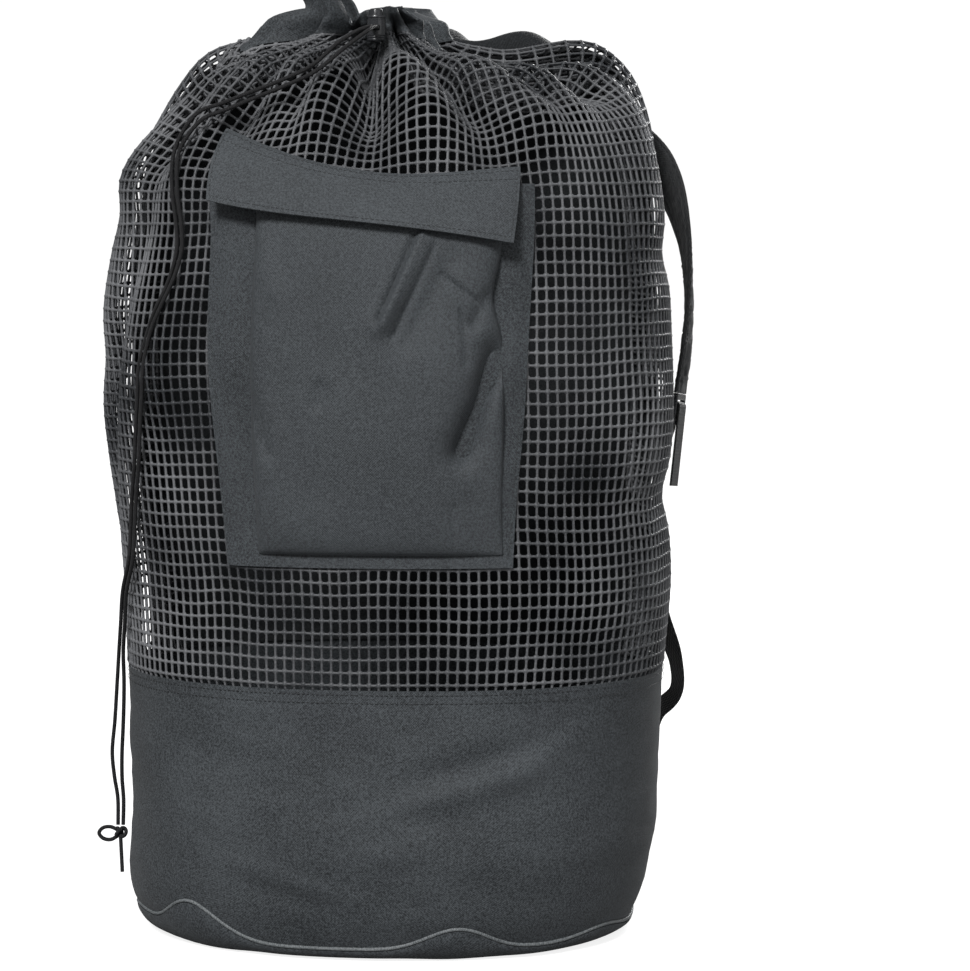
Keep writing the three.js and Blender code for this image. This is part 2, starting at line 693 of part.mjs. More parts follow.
function addStrap(side) {
  const round = (yokeWidth / 2 + 2 * layGap) / (girth * side.spread);
  const seat = { round, up: (yokeBottom + yokeHeight / 2) / neckHeight, bow: 0, twist: 0, width: 1 };
  const pad = smoothRows(
    [seat, ...PAD_ROWS].map((row) => bowedRow(row, side, padWidth * row.width, padThickness)), 20);
  add(`strap_pad_${side.name}`, loft(strip(pad, padThickness)), "webbing");

  // The buckle hangs from the pad's end, in the pad's own plane
  const [before, end] = pad.slice(-2);
  const down = end.place.clone().sub(before.place).normalize();
  const out = end.face.clone().addScaledVector(down, -end.face.dot(down)).normalize();
  const across = down.clone().cross(out);
  const frame = new THREE.Group();
  frame.applyMatrix4(new THREE.Matrix4().makeBasis(across, down, across.clone().cross(down)));
  frame.position.copy(end.place).addScaledVector(down, seamGap);
  const plate = new THREE.Shape()
    .moveTo(-buckleWidth / 2, 0).lineTo(buckleWidth / 2, 0)
    .lineTo(buckleWidth / 2, buckleHeight).lineTo(-buckleWidth / 2, buckleHeight).closePath();
  const inner = webWidth / 2 + 2 * seamGap;
  for (const from of [barHeight, 2 * barHeight + slotHeight])
    plate.holes.push(new THREE.Path()
      .moveTo(-inner, from).lineTo(-inner, from + slotHeight)
      .lineTo(inner, from + slotHeight).lineTo(inner, from).closePath());
  const buckle = new THREE.ExtrudeGeometry(plate, { depth: buckleThickness, bevelEnabled: false });
  buckle.translate(0, 0, -buckleThickness / 2);
  add(`ladder_lock_${side.name}`, buckle, "plastic", frame);
  bagGroup.add(frame);

  // The webbing comes up behind the buckle, turns over its middle bar and hangs down as the tail
  const bar = seamGap + barHeight + slotHeight;
  const spot = (along, off, turned = 0) => ({
    place: end.place.clone().addScaledVector(down, along).addScaledVector(out, off),
    face: out.clone().applyAxisAngle(across, turned),
    width: webWidth,
  });
  const bend = range(6, 0, Math.PI).map((angle) =>
    spot(bar - webOff * Math.sin(angle), webOff * Math.cos(angle), angle));
  const tail = [tailLength, tailLength / 2].map((along) =>
    spot(bar + along, webOff + (tailLean * along) / tailLength));
  const anchor = (height, off) => {
    const arc = girth * (0.5 - side.sign * side.spread * anchorRound);
    return {
      place: onWall(arc, height, off + webThickness / 2),
      face: normalOf(plainWall, arc / girth, BAND_TOP - 1),
      width: webWidth,
    };
  };
  const lower = smoothRows([
    spot(seamGap + buckleHeight + webLead, -webOff),
    ...WEB_ROWS.map((row) => bowedRow(row, side, webWidth, webThickness)),
    anchor(anchorHeight + anchorLead, 9 * layGap),
    anchor(anchorHeight, 2 * layGap),
    anchor(anchorHeight - anchorLap, layGap),
  ], 24).map((row) => ({ ...row, face: row.face.negate() }));
  add(`strap_web_${side.name}`, loft(strip([...tail, ...bend, ...lower], webThickness)), "webbing");
}

// The drawcord's two tails, from behind the lock over the pleats and down the left side
const TAIL_ROUTES = {
  a: [
    [-4.65, -48, 682], [-4.65, -64, 682], [-4.65, -81, 682], [-12, -88, 679], [-26, -94, 670],
    [-44, -103, 653], [-60, -104, 645], [-78, -103, 638], [-95, -101, 632], [-111, -100, 626],
    [-127, -104, 620], [-138, -103, 608], [-145, -104, 594], [-146.5, -111, 578],
    [-144.5, -118, 557], [-141.5, -122, 539], [-140.5, -125, 521], [-144.5, -124, 505],
    [-149.5, -123, 492], [-157, -121, 478], [-164.4, -115.2, 461], [-172, -112, 436],
    [-174, -111, 410], [-176, -108, 386], [-178, -104, 362], [-182, -96, 335], [-184, -92, 312],
    [-186, -90, 290], [-194, -76, 264], [-198, -66, 238], [-202, -55, 215], [-205, -49, 190],
    [-208, -45, 160], [-211, -42, 135], [-210, -40, 116], [-208, -38, 99], [-208, -38, 77.8],
  ],
  b: [
    [-1.35, -48, 682], [-1.35, -64, 682], [-1.35, -81, 682], [-5, -93, 678], [-19, -100, 667],
    [-42, -107, 648], [-59, -107, 640], [-77, -106, 633], [-93, -104, 627], [-108, -104, 621],
    [-123, -108, 615], [-134, -108, 604], [-141, -109, 592], [-142, -115, 578],
    [-140, -122, 557], [-137, -126, 539], [-136, -129, 521], [-140, -128, 506],
    [-145, -127, 494], [-153, -124, 479], [-161, -120, 462], [-168, -116, 436],
    [-170, -115, 410], [-172, -112, 386], [-174, -108, 362], [-178, -100, 335], [-180, -97, 312],
    [-182, -95, 290], [-190, -81, 264], [-194, -70, 238], [-198, -58, 215], [-199, -52, 190],
    [-201, -47, 160], [-203.5, -42, 132], [-204, -40, 114], [-203.5, -38, 98], [-204, -38, 77.8],
  ],
};
const LOOP_ROUTE = [
  [-207, -38, 73], [-214, -38, 76], [-220, -38, 75], [-223, -38, 71], [-220, -38, 67],
  [-214, -38, 66], [-207, -38, 70],
];
const END_ROUTE = [[-206, -39, 70], [-205, -41, 56], [-204, -43, 42]];
const knotPlace = new THREE.Vector3(-206, -38, 72);
const TAIL_STEPS = 40;

function addCords() {
  const points = (route) => route.map(([x, y, z]) => new THREE.Vector3(x, y, z));
  for (const [name, route] of Object.entries(TAIL_ROUTES))
    add(`drawcord_tail_${name}`, tube(points(route), cordDiameter, 8, TAIL_STEPS), "cord");
  const ball = new THREE.IcosahedronGeometry(knotRadius, 1).translate(...knotPlace.toArray());
  const knot = [tube(points(LOOP_ROUTE), cordDiameter, 6, 12), tube(points(END_ROUTE), cordDiameter, 6, 4)]
    .reduce((sum, piece) => sum.add(toManifold(piece)), toManifold(ball));
  add("cord_knot", fromManifold(knot), "cord");
}

addFoot();
addPiping();
addBand();
addBody();
addPatch();
addPocket();
addFlap();
addLock();
addCords();
addYoke();
STRAP_SIDES.forEach(addStrap);

export default bagGroup;
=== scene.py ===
"""A drawstring mesh bag for wet gear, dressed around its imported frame.

The wall of the sack is a function of turn, which is a share of the girth from the front middle
towards the right, and of row, which counts the sections from the bottom seam to the top of the hem.
Shapes are worked out in millimetres and become meshes in metres.
"""

from __future__ import annotations

import logging
import math
from dataclasses import dataclass, field
from enum import Enum, IntEnum
from typing import Callable, Sequence

import bpy
import numpy as np
from mathutils import Matrix, Vector, noise

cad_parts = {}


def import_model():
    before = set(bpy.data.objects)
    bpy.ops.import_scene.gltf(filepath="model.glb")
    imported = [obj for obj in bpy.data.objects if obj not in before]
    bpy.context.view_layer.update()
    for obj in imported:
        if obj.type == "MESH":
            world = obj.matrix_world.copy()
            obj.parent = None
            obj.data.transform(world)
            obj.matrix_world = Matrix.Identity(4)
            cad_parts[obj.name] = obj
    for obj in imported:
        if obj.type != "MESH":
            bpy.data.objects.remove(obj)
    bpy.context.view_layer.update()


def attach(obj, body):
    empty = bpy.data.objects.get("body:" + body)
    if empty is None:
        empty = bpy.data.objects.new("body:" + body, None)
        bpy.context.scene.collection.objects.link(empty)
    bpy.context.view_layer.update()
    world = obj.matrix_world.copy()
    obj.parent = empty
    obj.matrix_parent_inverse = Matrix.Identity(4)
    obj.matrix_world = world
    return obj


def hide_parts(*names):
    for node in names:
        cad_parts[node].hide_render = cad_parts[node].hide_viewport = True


MM = 0.001
Array = np.ndarray
Surface = Callable[[Array, Array], Array]
log = logging.getLogger("dive_bag")


class Column(IntEnum):
    """Columns of a section of the sack, in millimetres."""

    HEIGHT = 0
    TILT_RIGHT = 1
    TILT_BACK = 2
    FRONT = 3
    RIGHT = 4
    BACK = 5
    LEFT = 6
    PLEAT = 7
    CREASE = 8


# Zone, rise, tilt right, tilt back, front, right, back, left, pleat and crease, as shares
SECTIONS = (
    ("band", 0.06, 0, 0, 0.93, 0.865, 0.93, 0.9, 0, 0),
    ("band", 0.2, 0, 0, 0.99, 0.915, 0.97, 0.943, 0, 0),
    ("band", 0.5, 0, 0, 1.03, 0.955, 1, 0.93, 0, 0.1),
    ("band", 1, 0, 0, 1.005, 0.972, 0.98, 0.94, 0, 0.3),
    ("side", 0.17, 0, 0, 1, 0.995, 0.96, 0.955, 0, 0.6),
    ("side", 0.345, 0, 0, 0.99, 0.985, 0.953, 0.99, 0, 0.9),
    ("side", 0.54, 0, 0, 1.005, 0.998, 0.966, 1.02, 0, 1),
    ("side", 0.72, 0, 0, 1.005, 0.99, 0.98, 1.015, 0, 1),
    ("side", 0.875, 0, 0, 0.985, 0.98, 0.993, 0.975, 0.06, 0.8),
    ("side", 1, 0.01, 0.01, 0.935, 0.95, 0.993, 0.965, 0.18, 0.5),
    ("shoulder", 0.46, 0.1, 0.12, 0.82, 0.9, 0.94, 0.88, 0.45, 0.3),
    ("shoulder", 0.765, 0.08, 0.16, 0.67, 0.815, 0.82, 0.785, 0.7, 0),
    ("shoulder", 0.95, 0.03, 0.12, 0.52, 0.69, 0.65, 0.655, 0.75, 0),
    ("shoulder", 0.99, -0.04, 0.06, 0.37, 0.42, 0.43, 0.43, 0.5, 0),
    ("hem", 0.15, 0, 0.04, 0.98, 1.02, 1, 0.9, 0.55, 0),
    ("hem", 0.48, 0.02, 0.08, 0.98, 0.93, 1.05, 1.05, 0.75, 0),
    ("hem", 0.82, -0.06, 0.1, 1.05, 0.85, 1.1, 1.4, 0.7, 0),
)
BAND_TOP = 3
NECK = 14
HEM_TOP = len(SECTIONS) - 1

# Width as a share of the girth and height as a share of the pleat depth
PLEATS = (
    (0.09, 1.15), (0.09, 1.1), (0.075, 0.9), (0.08, 1), (0.08, 0.85), (0.085, 0.95),
    (0.09, 1), (0.09, 0.9), (0.085, 1), (0.075, 0.95), (0.07, 0.9), (0.09, 1.1),
)
NET_RIGHT = sum(width for width, _ in PLEATS[:4])
NET_LEFT = -sum(width for width, _ in PLEATS[-4:])

# Turn, height, breadth, tallness and push
DENTS = (
    (-0.24, 0.93, 0.05, 0.05, -0.7),
    (-0.25, 0.63, 0.05, 0.06, -0.5),
    (-0.13, 0.62, 0.035, 0.1, 0.8),
    (0.25, 0.84, 0.06, 0.05, -0.6),
    (0.25, 0.35, 0.08, 0.05, -0.6),
    (0.19, 0.5, 0.05, 0.12, 0.4),
    (0.12, -0.35, 0.09, 0.07, 0.5),
    (-0.225, 1.2, 0.06, 0.14, -2.5),
    (0.2, 1.24, 0.08, 0.12, -1.7),
)

# Turn, breadth, row, breadth in rows, and the shift right and up in millimetres
FLARES = (
    (-0.23, 0.09, 14, 0.9, -78, -3),
    (-0.235, 0.07, 13.9, 0.45, -16, 0),
    (0.22, 0.08, 14, 0.6, 2, -3),
    (0.23, 0.1, 15.8, 0.9, -46, 0),
    (0.24, 0.13, 12.4, 1.8, -5, -7),
)

# Turn at the mouth and at the foot, breadth, depth in millimetres, and row of the foot
VALLEYS = (
    (-0.022, 0.006, 0.019, 34, 8.0), (0.04, 0.09, 0.021, 34, 8.0),
    (-0.066, -0.052, 0.012, 22, 8.6), (-0.1, -0.105, 0.015, 25, 8.2),
    (-0.148, -0.165, 0.017, 22, 8.2), (0.105, 0.155, 0.018, 24, 8.2),
    (0.165, 0.215, 0.018, 20, 9.0), (-0.2, -0.215, 0.018, 18, 9.5),
    (0.255, 0.255, 0.022, 18, 10.2), (0.335, 0.335, 0.022, 18, 10.2),
    (0.415, 0.415, 0.024, 18, 10.2), (0.5, 0.5, 0.024, 18, 10.2),
    (0.59, 0.59, 0.024, 18, 10.2), (0.68, 0.68, 0.022, 18, 10.2),
)

# Turn, height, breadth in turns and in millimetres, slope, and push outwards
BAND_FOLDS = (
    (0.06, 130, 0.06, 9, 0.22, 3.4), (0.075, 152, 0.06, 11, 0.3, -3.2),
    (0.12, 158, 0.035, 9, 0.5, 2.6), (-0.045, 60, 0.045, 6, -0.22, 2.4),
    (-0.05, 48, 0.05, 6, -0.22, -1.6), (0.05, 30, 0.045, 5, -0.12, 2.2),
    (-0.11, 150, 0.03, 26, 0, -2), (0.02, 85, 0.04, 12, 0.15, 1.6),
    (0.4, 120, 0.06, 12, 0.3, -2.4), (0.55, 100, 0.06, 10, -0.25, 2.4),
    (0.63, 60, 0.05, 9, 0.2, -2), (-0.3, 110, 0.04, 14, 0.4, 2.4),
)

# Turn, breadth and rise of the bottom seam's humps
SEAM_HUMPS = (
    (-0.128, 0.03, 1), (0.062, 0.03, 0.6), (-0.2, 0.04, 0.4),
    (0.18, 0.03, 0.25), (0.36, 0.05, 0.5), (-0.37, 0.05, 0.7),
)


def bell(value: Array | float) -> Array | float:
    """Return a smooth bump that is 1 at 0."""
    return np.exp(-np.square(value))


def nearest(difference: Array | float) -> Array | float:
    """Return a difference of turns the short way round."""
    return difference - np.round(difference)


def ease(share: Array | float) -> Array | float:
    """Return a share held between 0 and 1, with soft ends."""
    held = np.clip(share, 0, 1)
    return held * held * (3 - 2 * held)


def unit(vectors: Array) -> Array:
    """Return vectors scaled to length 1."""
    return vectors / np.maximum(np.linalg.norm(vectors, axis=-1, keepdims=True), 1e-12)


def crumple(points: Array, scale: float, seed: float = 0.0, octaves: int = 2) -> Array:
    """Give smooth noise at each point.

    Args:
        points: Places in millimetres, with x, y and z last.
        scale: Size of the largest lumps in millimetres.
        seed: Shift of the noise, so that pieces differ.
        octaves: How many finer layers are summed.

    Returns:
        Values from about -1 to 1, in the shape of the points without their last axis.
    """
    flat = points.reshape(-1, 3) / scale + seed
    values = [
        sum(noise.noise(Vector(p * 2**k)) / 2**k for k in range(octaves)) for p in flat
    ]
    return np.array(values).reshape(points.shape[:-1])


@dataclass(frozen=True)
class SackSizes:
    """Sizes of the sack in millimetres."""

    half_width: float = 215
    half_depth: float = 149
    corner_power: float = 2.3
    band_height: float = 203
    side_height: float = 373
    shoulder_rise: float = 100
    hem_height: float = 40
    neck_radius: float = 46
    pleat_depth: float = 13
    dent_depth: float = 9
    crease_depth: float = 10
    crease_breadth: float = 0.014
    crease_top: float = -0.155
    crease_foot: float = -0.245
    cloth_wall: float = 1.6
    net_wall: float = 2
    seam_gap: float = 0.3
    lay_gap: float = 0.7

    @property
    def neck_height(self) -> float:
        """Return the height where the hem starts."""
        return self.band_height + self.side_height + self.shoulder_rise


class Sack:
    """The wall of the sack, worked out at any turn and row."""

    OVAL_STEPS = 720
    TURN_STEP = 0.002
    ROW_STEP = 0.02
    SEARCH_STEPS = 30
    FRONT_FOOT = 10.2
    SQUEEZE = 0.45
    FRONT_EDGE = 0.16
    TUCK_ROW = BAND_TOP - 0.06
    TUCK_DEPTH = 2.6

    def __init__(self, sizes: SackSizes) -> None:
        """Work out the oval's lengths and the sections in millimetres.

        Args:
            sizes: Sizes of the sack.
        """
        self.sizes = sizes
        self.angles = np.linspace(0, 2 * math.pi, self.OVAL_STEPS + 1)
        x, y = self.oval(self.angles)
        steps = np.hypot(np.diff(x) * sizes.half_width, np.diff(y) * sizes.half_depth)
        self.lengths = np.concatenate([[0.0], np.cumsum(steps)])
        self.girth = float(self.lengths[-1])
        body = (sizes.half_width, sizes.half_depth)
        shoulder = sizes.band_height + sizes.side_height
        zones = {
            "band": (0, sizes.band_height, *body),
            "side": (sizes.band_height, sizes.side_height, *body),
            "shoulder": (shoulder, sizes.shoulder_rise, *body),
            "hem": (sizes.neck_height, sizes.hem_height, sizes.neck_radius, sizes.neck_radius),
        }
        rows = []
        for zone, rise, right_tilt, back_tilt, front, right, back, left, pleat, crease in SECTIONS:
            start, height, width, depth = zones[zone]
            rows.append((
                start + height * rise, height * right_tilt, height * back_tilt,
                depth * front, width * right, depth * back, width * left,
                sizes.pleat_depth * pleat, sizes.crease_depth * crease,
            ))
        self.table = np.array(rows, dtype=float)
        self.edges = np.cumsum([0.0] + [width for width, _ in PLEATS])
        self.tallest = max(height for _, height in PLEATS)

    def oval(self, angle: Array) -> tuple[Array, Array]:
        """Return the oval's x and y, from -1 to 1, at angles from the front."""
        power = 2 / self.sizes.corner_power
        sine, cosine = np.sin(angle), -np.cos(angle)
        return np.sign(sine) * np.abs(sine) ** power, np.sign(cosine) * np.abs(cosine) ** power

    def angle(self, turn: Array) -> Array:
        """Return the oval's angle at shares of the girth."""
        return np.interp((turn - np.floor(turn)) * self.girth, self.lengths, self.angles)

    def section(self, row: Array) -> Array:
        """Blend the sections smoothly.

        Args:
            row: Rows, which may lie between sections.

        Returns:
            The columns of each row, on a last axis.
        """
        at = np.clip(np.floor(row), 0, HEM_TOP - 1).astype(int)
        t = (row - at)[..., None]
        a, b, c, d = (self.table[np.clip(at + k, 0, HEM_TOP)] for k in (-1, 0, 1, 2))
        cubic = 3 * (b - c) + d - a
        return b + 0.5 * t * (c - a + t * (2 * a - 5 * b + 4 * c - d + t * cubic))

    def plain_wall(self, turn: Array, row: Array) -> Array:
        """Return the wall without its pleats and dents, in millimetres."""
        turn, row = np.broadcast_arrays(np.asarray(turn, float), np.asarray(row, float))
        s = self.section(row)
        angle = self.angle(turn)
        across, along = self.oval(angle)
        x = across * np.where(across > 0, s[..., Column.RIGHT], s[..., Column.LEFT])
        y = along * np.where(along > 0, s[..., Column.BACK], s[..., Column.FRONT])
        tilt = s[..., Column.TILT_RIGHT] * np.sin(angle) - s[..., Column.TILT_BACK] * np.cos(angle)
        return np.stack([x, y, s[..., Column.HEIGHT] + tilt], axis=-1)

    def normal(self, surface: Surface, turn: Array, row: Array) -> Array:
        """Return the outward normals of a surface of turn and row."""
        around = surface(turn + self.TURN_STEP, row) - surface(turn - self.TURN_STEP, row)
        up = surface(turn, row + self.ROW_STEP) - surface(turn, row - self.ROW_STEP)
        return unit(np.cross(around, up))

    def pleat_wave(self, turn: Array) -> Array:
        """Return how far the pleats stand off at each turn, in shares of the pleat depth."""
        left = turn - np.floor(turn)
        at = np.clip(np.searchsorted(self.edges, left, side="right") - 1, 0, len(PLEATS) - 1)
        table = np.array(PLEATS)
        phase = (left - self.edges[at]) / table[at, 0]
        return -np.cos(2 * math.pi * phase) * table[at, 1]

    def dent_push(self, turn: Array, row: Array) -> Array:
        """Return how far the dents and the crease move the wall, in millimetres."""
        sizes = self.sizes
        height = (self.plain_wall(turn, row)[..., 2] - sizes.band_height) / sizes.side_height
        line = sizes.crease_foot + (sizes.crease_top - sizes.crease_foot) * np.clip(height, 0, 1)
        crease = self.section(np.broadcast_to(row, height.shape))[..., Column.CREASE]
        push = -crease * bell(nearest(turn - line) / sizes.crease_breadth)
        for dent_turn, dent_height, breadth, tall, share in DENTS:
            round_it = bell(nearest(turn - dent_turn) / breadth)
            push = push + sizes.dent_depth * share * round_it * bell((height - dent_height) / tall)
        return push

    def wall(self, turn: Array, row: Array) -> Array:
        """Return the wall with its dents and pleats, in millimetres."""
        turn, row = np.broadcast_arrays(np.asarray(turn, float), np.asarray(row, float))
        way = self.normal(self.plain_wall, turn, row)
        point = self.plain_wall(turn, row) + way * self.dent_push(turn, row)[..., None]
        way[..., 2] *= np.clip((NECK - row) / 2, 0, 1)
        lift = self.section(row)[..., Column.PLEAT] * self.pleat_wave(turn)
        return point + unit(way) * lift[..., None]

    def gathered(self, turn: Array, row: Array) -> Array:
        """Return the wall with the deep gathers near its mouth.

        Args:
            turn: Turns.
            row: Rows.

        Returns:
            Places in millimetres, flared where the hem spreads, and tucked under the band's edge.
        """
        turn, row = np.broadcast_arrays(np.asarray(turn, float), np.asarray(row, float))
        fade = 1 - 0.8 * ease((row - NECK) / 1.6)
        sunk = np.zeros(turn.shape)
        for mouth, foot, breadth, depth, start in VALLEYS:
            rise = np.clip((row - start) / (NECK - start), 0, 1)
            away = nearest(turn - foot - (mouth - foot) * rise)
            share = ease(rise * 1.5) * fade
            sunk = sunk + depth * share * bell(away / breadth)
            squeeze = self.SQUEEZE * share * bell(away / (2 * breadth))
            turn = turn - squeeze * away * ease((row - start) / 1.5)
        front = ease((self.FRONT_EDGE - np.abs(nearest(turn))) / 0.03)
        front = front * ease((row - self.FRONT_FOOT) / 2) * (1 - ease((row - NECK) / 0.8))
        wave = self.pleat_wave(turn)
        lift = self.section(row)[..., Column.PLEAT] * (wave + front * (0.45 - wave)) - sunk
        lift = lift - self.TUCK_DEPTH * ease((BAND_TOP + 0.03 - row) / 0.05)
        way = self.normal(self.plain_wall, turn, row)
        point = self.plain_wall(turn, row) + way * self.dent_push(turn, row)[..., None]
        way[..., 2] *= np.clip((NECK - row) / 2, 0, 1)
        point = point + unit(way) * lift[..., None]
        for at, breadth, level, tall, right, up in FLARES:
            flare = bell(nearest(turn - at) / breadth) * bell((row - level) / tall)
            point = point + flare[..., None] * np.array([right, 0, up])
        return point

    def row_at(self, turn: Array, height: Array) -> Array:
        """Return the rows where the plain wall reaches the heights."""
        turn, height = np.broadcast_arrays(np.asarray(turn, float), np.asarray(height, float))
        low, high = np.zeros(turn.shape), np.full(turn.shape, NECK - 2.0)
        for _ in range(self.SEARCH_STEPS):
            middle = (low + high) / 2
            below = self.plain_wall(turn, middle)[..., 2] < height
            low, high = np.where(below, middle, low), np.where(below, high, middle)
        return (low + high) / 2

    def on_wall(self, arc: Array, height: Array, off: Array | float) -> Array:
        """Return places over the pleats.

        Args:
            arc: Arc lengths from the front middle in millimetres.
            height: Heights in millimetres.
            off: How far the places stand off the net's outer face.

        Returns:
            Places in millimetres.
        """
        turn = np.asarray(arc, float) / self.girth
        row = self.row_at(turn, height)
        turn = np.broadcast_to(turn, row.shape)
        pleat = self.section(row)[..., Column.PLEAT] * self.tallest
        over = self.sizes.net_wall / 2 + pleat + self.dent_push(turn, row) + off
        way = self.normal(self.plain_wall, turn, row)
        return self.plain_wall(turn, row) + way * np.asarray(over)[..., None]


def catmull(points: Array, shares: Array) -> Array:
    """Follow a centripetal curve through points.

    Args:
        points: Places that the curve passes, one in each row.
        shares: Where to read it, from 0 at the first place to 1 at the last.

    Returns:
        The places read.
    """
    wide = np.vstack([2 * points[0] - points[1], points, 2 * points[-1] - points[-2]])
    place = shares * (len(points) - 1)
    at = np.minimum(np.floor(place).astype(int), len(points) - 2)
    w = (place - at)[:, None]
    p0, p1, p2, p3 = (wide[at + k] for k in range(4))
    d0, d1, d2 = (
        np.sqrt(np.linalg.norm(b - a, axis=1, keepdims=True))
        for a, b in ((p0, p1), (p1, p2), (p2, p3))
    )
    start = ((p1 - p0) / d0 - (p2 - p0) / (d0 + d1) + (p2 - p1) / d1) * d1
    end = ((p2 - p1) / d1 - (p3 - p1) / (d1 + d2) + (p3 - p2) / d2) * d1
    bend = -3 * p1 + 3 * p2 - 2 * start - end
    return p1 + w * (start + w * (bend + w * (2 * p1 - 2 * p2 + start + end)))


def spaced(points: Array, count: int) -> Array:
    """Return a polyline resampled to evenly spaced points."""
    lengths = np.concatenate([[0], np.cumsum(np.linalg.norm(np.diff(points, axis=0), axis=1))])
    at = np.linspace(0, lengths[-1], count)
    return np.stack([np.interp(at, lengths, points[:, k]) for k in range(3)], axis=1)


def line_length(points: Array) -> float:
    """Return the length of a polyline."""
    return float(np.linalg.norm(np.diff(points, axis=0), axis=1).sum())


class Workshop:
    """Makes meshes from arrays of points in millimetres."""

    SHARP = math.radians(50)

    @staticmethod
    def mesh_object(
        name: str,
        points: Array,
        faces: Sequence[Sequence[int]],
        material: bpy.types.Material | None = None,
        corners: Array | None = None,
        edges: Sequence[tuple[int, int]] = (),
    ) -> bpy.types.Object:
        """Link a new mesh object.

        Args:
            name: The object's name.
            points: Vertices in millimetres.
            faces: Vertex numbers of each face.
            material: The material of every face.
            corners: The UV place of each face corner, in metres.
            edges: Loose edges, for a line.

        Returns:
            The object, at the origin.
        """
        mesh = bpy.data.meshes.new(name)
        mesh.from_pydata((np.asarray(points) * MM).tolist(), list(edges), faces)
        if corners is not None:
            layer = mesh.uv_layers.new(name="cloth")
            layer.data.foreach_set("uv", np.asarray(corners, dtype=np.float32).ravel())
        if len(faces):
            mesh.shade_smooth()
            mesh.set_sharp_from_angle(angle=Workshop.SHARP)
        if material:
            mesh.materials.append(material)
        item = bpy.data.objects.new(name, mesh)
        bpy.context.scene.collection.objects.link(item)
        return item

    @staticmethod
    def sheet(
        name: str,
        grid: Array,
        thickness: float,
        material: bpy.types.Material,
        ring: bool = False,
    ) -> bpy.types.Object:
        """Make a cloth sheet with both faces and its rims.

        Args:
            name: The object's name.
            grid: Places of the cloth's middle, across and then up.
            thickness: The cloth's thickness in millimetres.
            material: The cloth's material.
            ring: Whether the last column joins the first.

        Returns:
            The object.
        """
        wide = np.concatenate([grid[-1:], grid, grid[:1]]) if ring else grid
        du = np.gradient(wide, axis=0)
        way = unit(np.cross(du, np.gradient(wide, axis=1)))
        way = way[1:-1] if ring else way
        count, rows = grid.shape[:2]
        points = np.concatenate([
            (grid + way * thickness / 2).reshape(-1, 3),
            (grid - way * thickness / 2).reshape(-1, 3),
        ])
        closed = np.concatenate([grid, grid[:1]]) if ring else grid
        across = np.linalg.norm(np.diff(closed, axis=0), axis=2).mean(axis=1)
        up = np.linalg.norm(np.diff(grid, axis=1), axis=2).mean(axis=0)
        u = np.concatenate([[0], np.cumsum(across)]) * MM
        v = np.concatenate([[0], np.cumsum(up)]) * MM
        inner = count * rows
        columns = count if ring else count - 1
        i, j = (x.ravel() for x in np.meshgrid(range(columns), range(rows - 1), indexing="ij"))
        quads = [
            ([(i, j), (i + 1, j), (i + 1, j + 1), (i, j + 1)], (0, 0, 0, 0)),
            ([(i, j), (i, j + 1), (i + 1, j + 1), (i + 1, j)], (1, 1, 1, 1)),
        ]
        k, zero, top = np.arange(columns), np.zeros(columns, int), np.full(columns, rows - 1)
        quads += [
            ([(k + 1, zero), (k, zero), (k, zero), (k + 1, zero)], (0, 0, 1, 1)),
            ([(k, top), (k + 1, top), (k + 1, top), (k, top)], (0, 0, 1, 1)),
        ]
        if not ring:
            m, left = np.arange(rows - 1), np.zeros(rows - 1, int)
            right = np.full(rows - 1, count - 1)
            quads += [
                ([(left, m), (left, m + 1), (left, m + 1), (left, m)], (0, 0, 1, 1)),
                ([(right, m + 1), (right, m), (right, m), (right, m + 1)], (0, 0, 1, 1)),
            ]
        faces, corners = [], []
        for places, layers in quads:
            faces.append(np.stack(
                [(a % count) * rows + b + inner * s for (a, b), s in zip(places, layers)], axis=1))
            corners.append(np.stack([np.stack([u[a], v[b]], axis=1) for a, b in places], axis=1))
        item = Workshop.mesh_object(
            name, points, np.concatenate(faces).tolist(), material, np.concatenate(corners))
        item["flat"] = (float(u[-1]), float(v[-1]))
        return item

    @staticmethod
    def loft(
        name: str,
        loops: Array,
        material: bpy.types.Material,
        ring: bool = False,
    ) -> bpy.types.Object:
        """Join closed loops of points into a solid.

        Args:
            name: The object's name.
            loops: Loops of the same count of places, which run anticlockwise along the way.
            material: The material.
            ring: Whether the last loop joins the first, which leaves out the caps.

        Returns:
            The object.
        """
        count, sides = loops.shape[:2]
        round_it = np.linalg.norm(np.diff(np.concatenate([loops, loops[:, :1]], 1), axis=1), axis=2)
        u = np.concatenate([[0], np.cumsum(round_it.mean(axis=0))]) * MM
        middles = loops.mean(axis=1)
        middles = np.concatenate([middles, middles[:1]]) if ring else middles
        along = np.linalg.norm(np.diff(middles, axis=0), axis=1)
        v = np.concatenate([[0], np.cumsum(along)]) * MM
        last = count if ring else count - 1
        i, j = (x.ravel() for x in np.meshgrid(range(last), range(sides), indexing="ij"))
        places = [(i, j), (i, j + 1), (i + 1, j + 1), (i + 1, j)]
        faces = np.stack([(a % count) * sides + b % sides for a, b in places], axis=1).tolist()
        corners = np.stack([np.stack([u[b], v[a]], axis=1) for a, b in places], axis=1)
        corners = corners.reshape(-1, 2)
        if not ring:
            end = (count - 1) * sides
            faces += [list(range(sides))[::-1], [end + k for k in range(sides)]]
            caps = np.zeros((2 * sides, 2))
            corners = np.concatenate([corners, caps])
        return Workshop.mesh_object(name, loops.reshape(-1, 3), faces, material, corners)

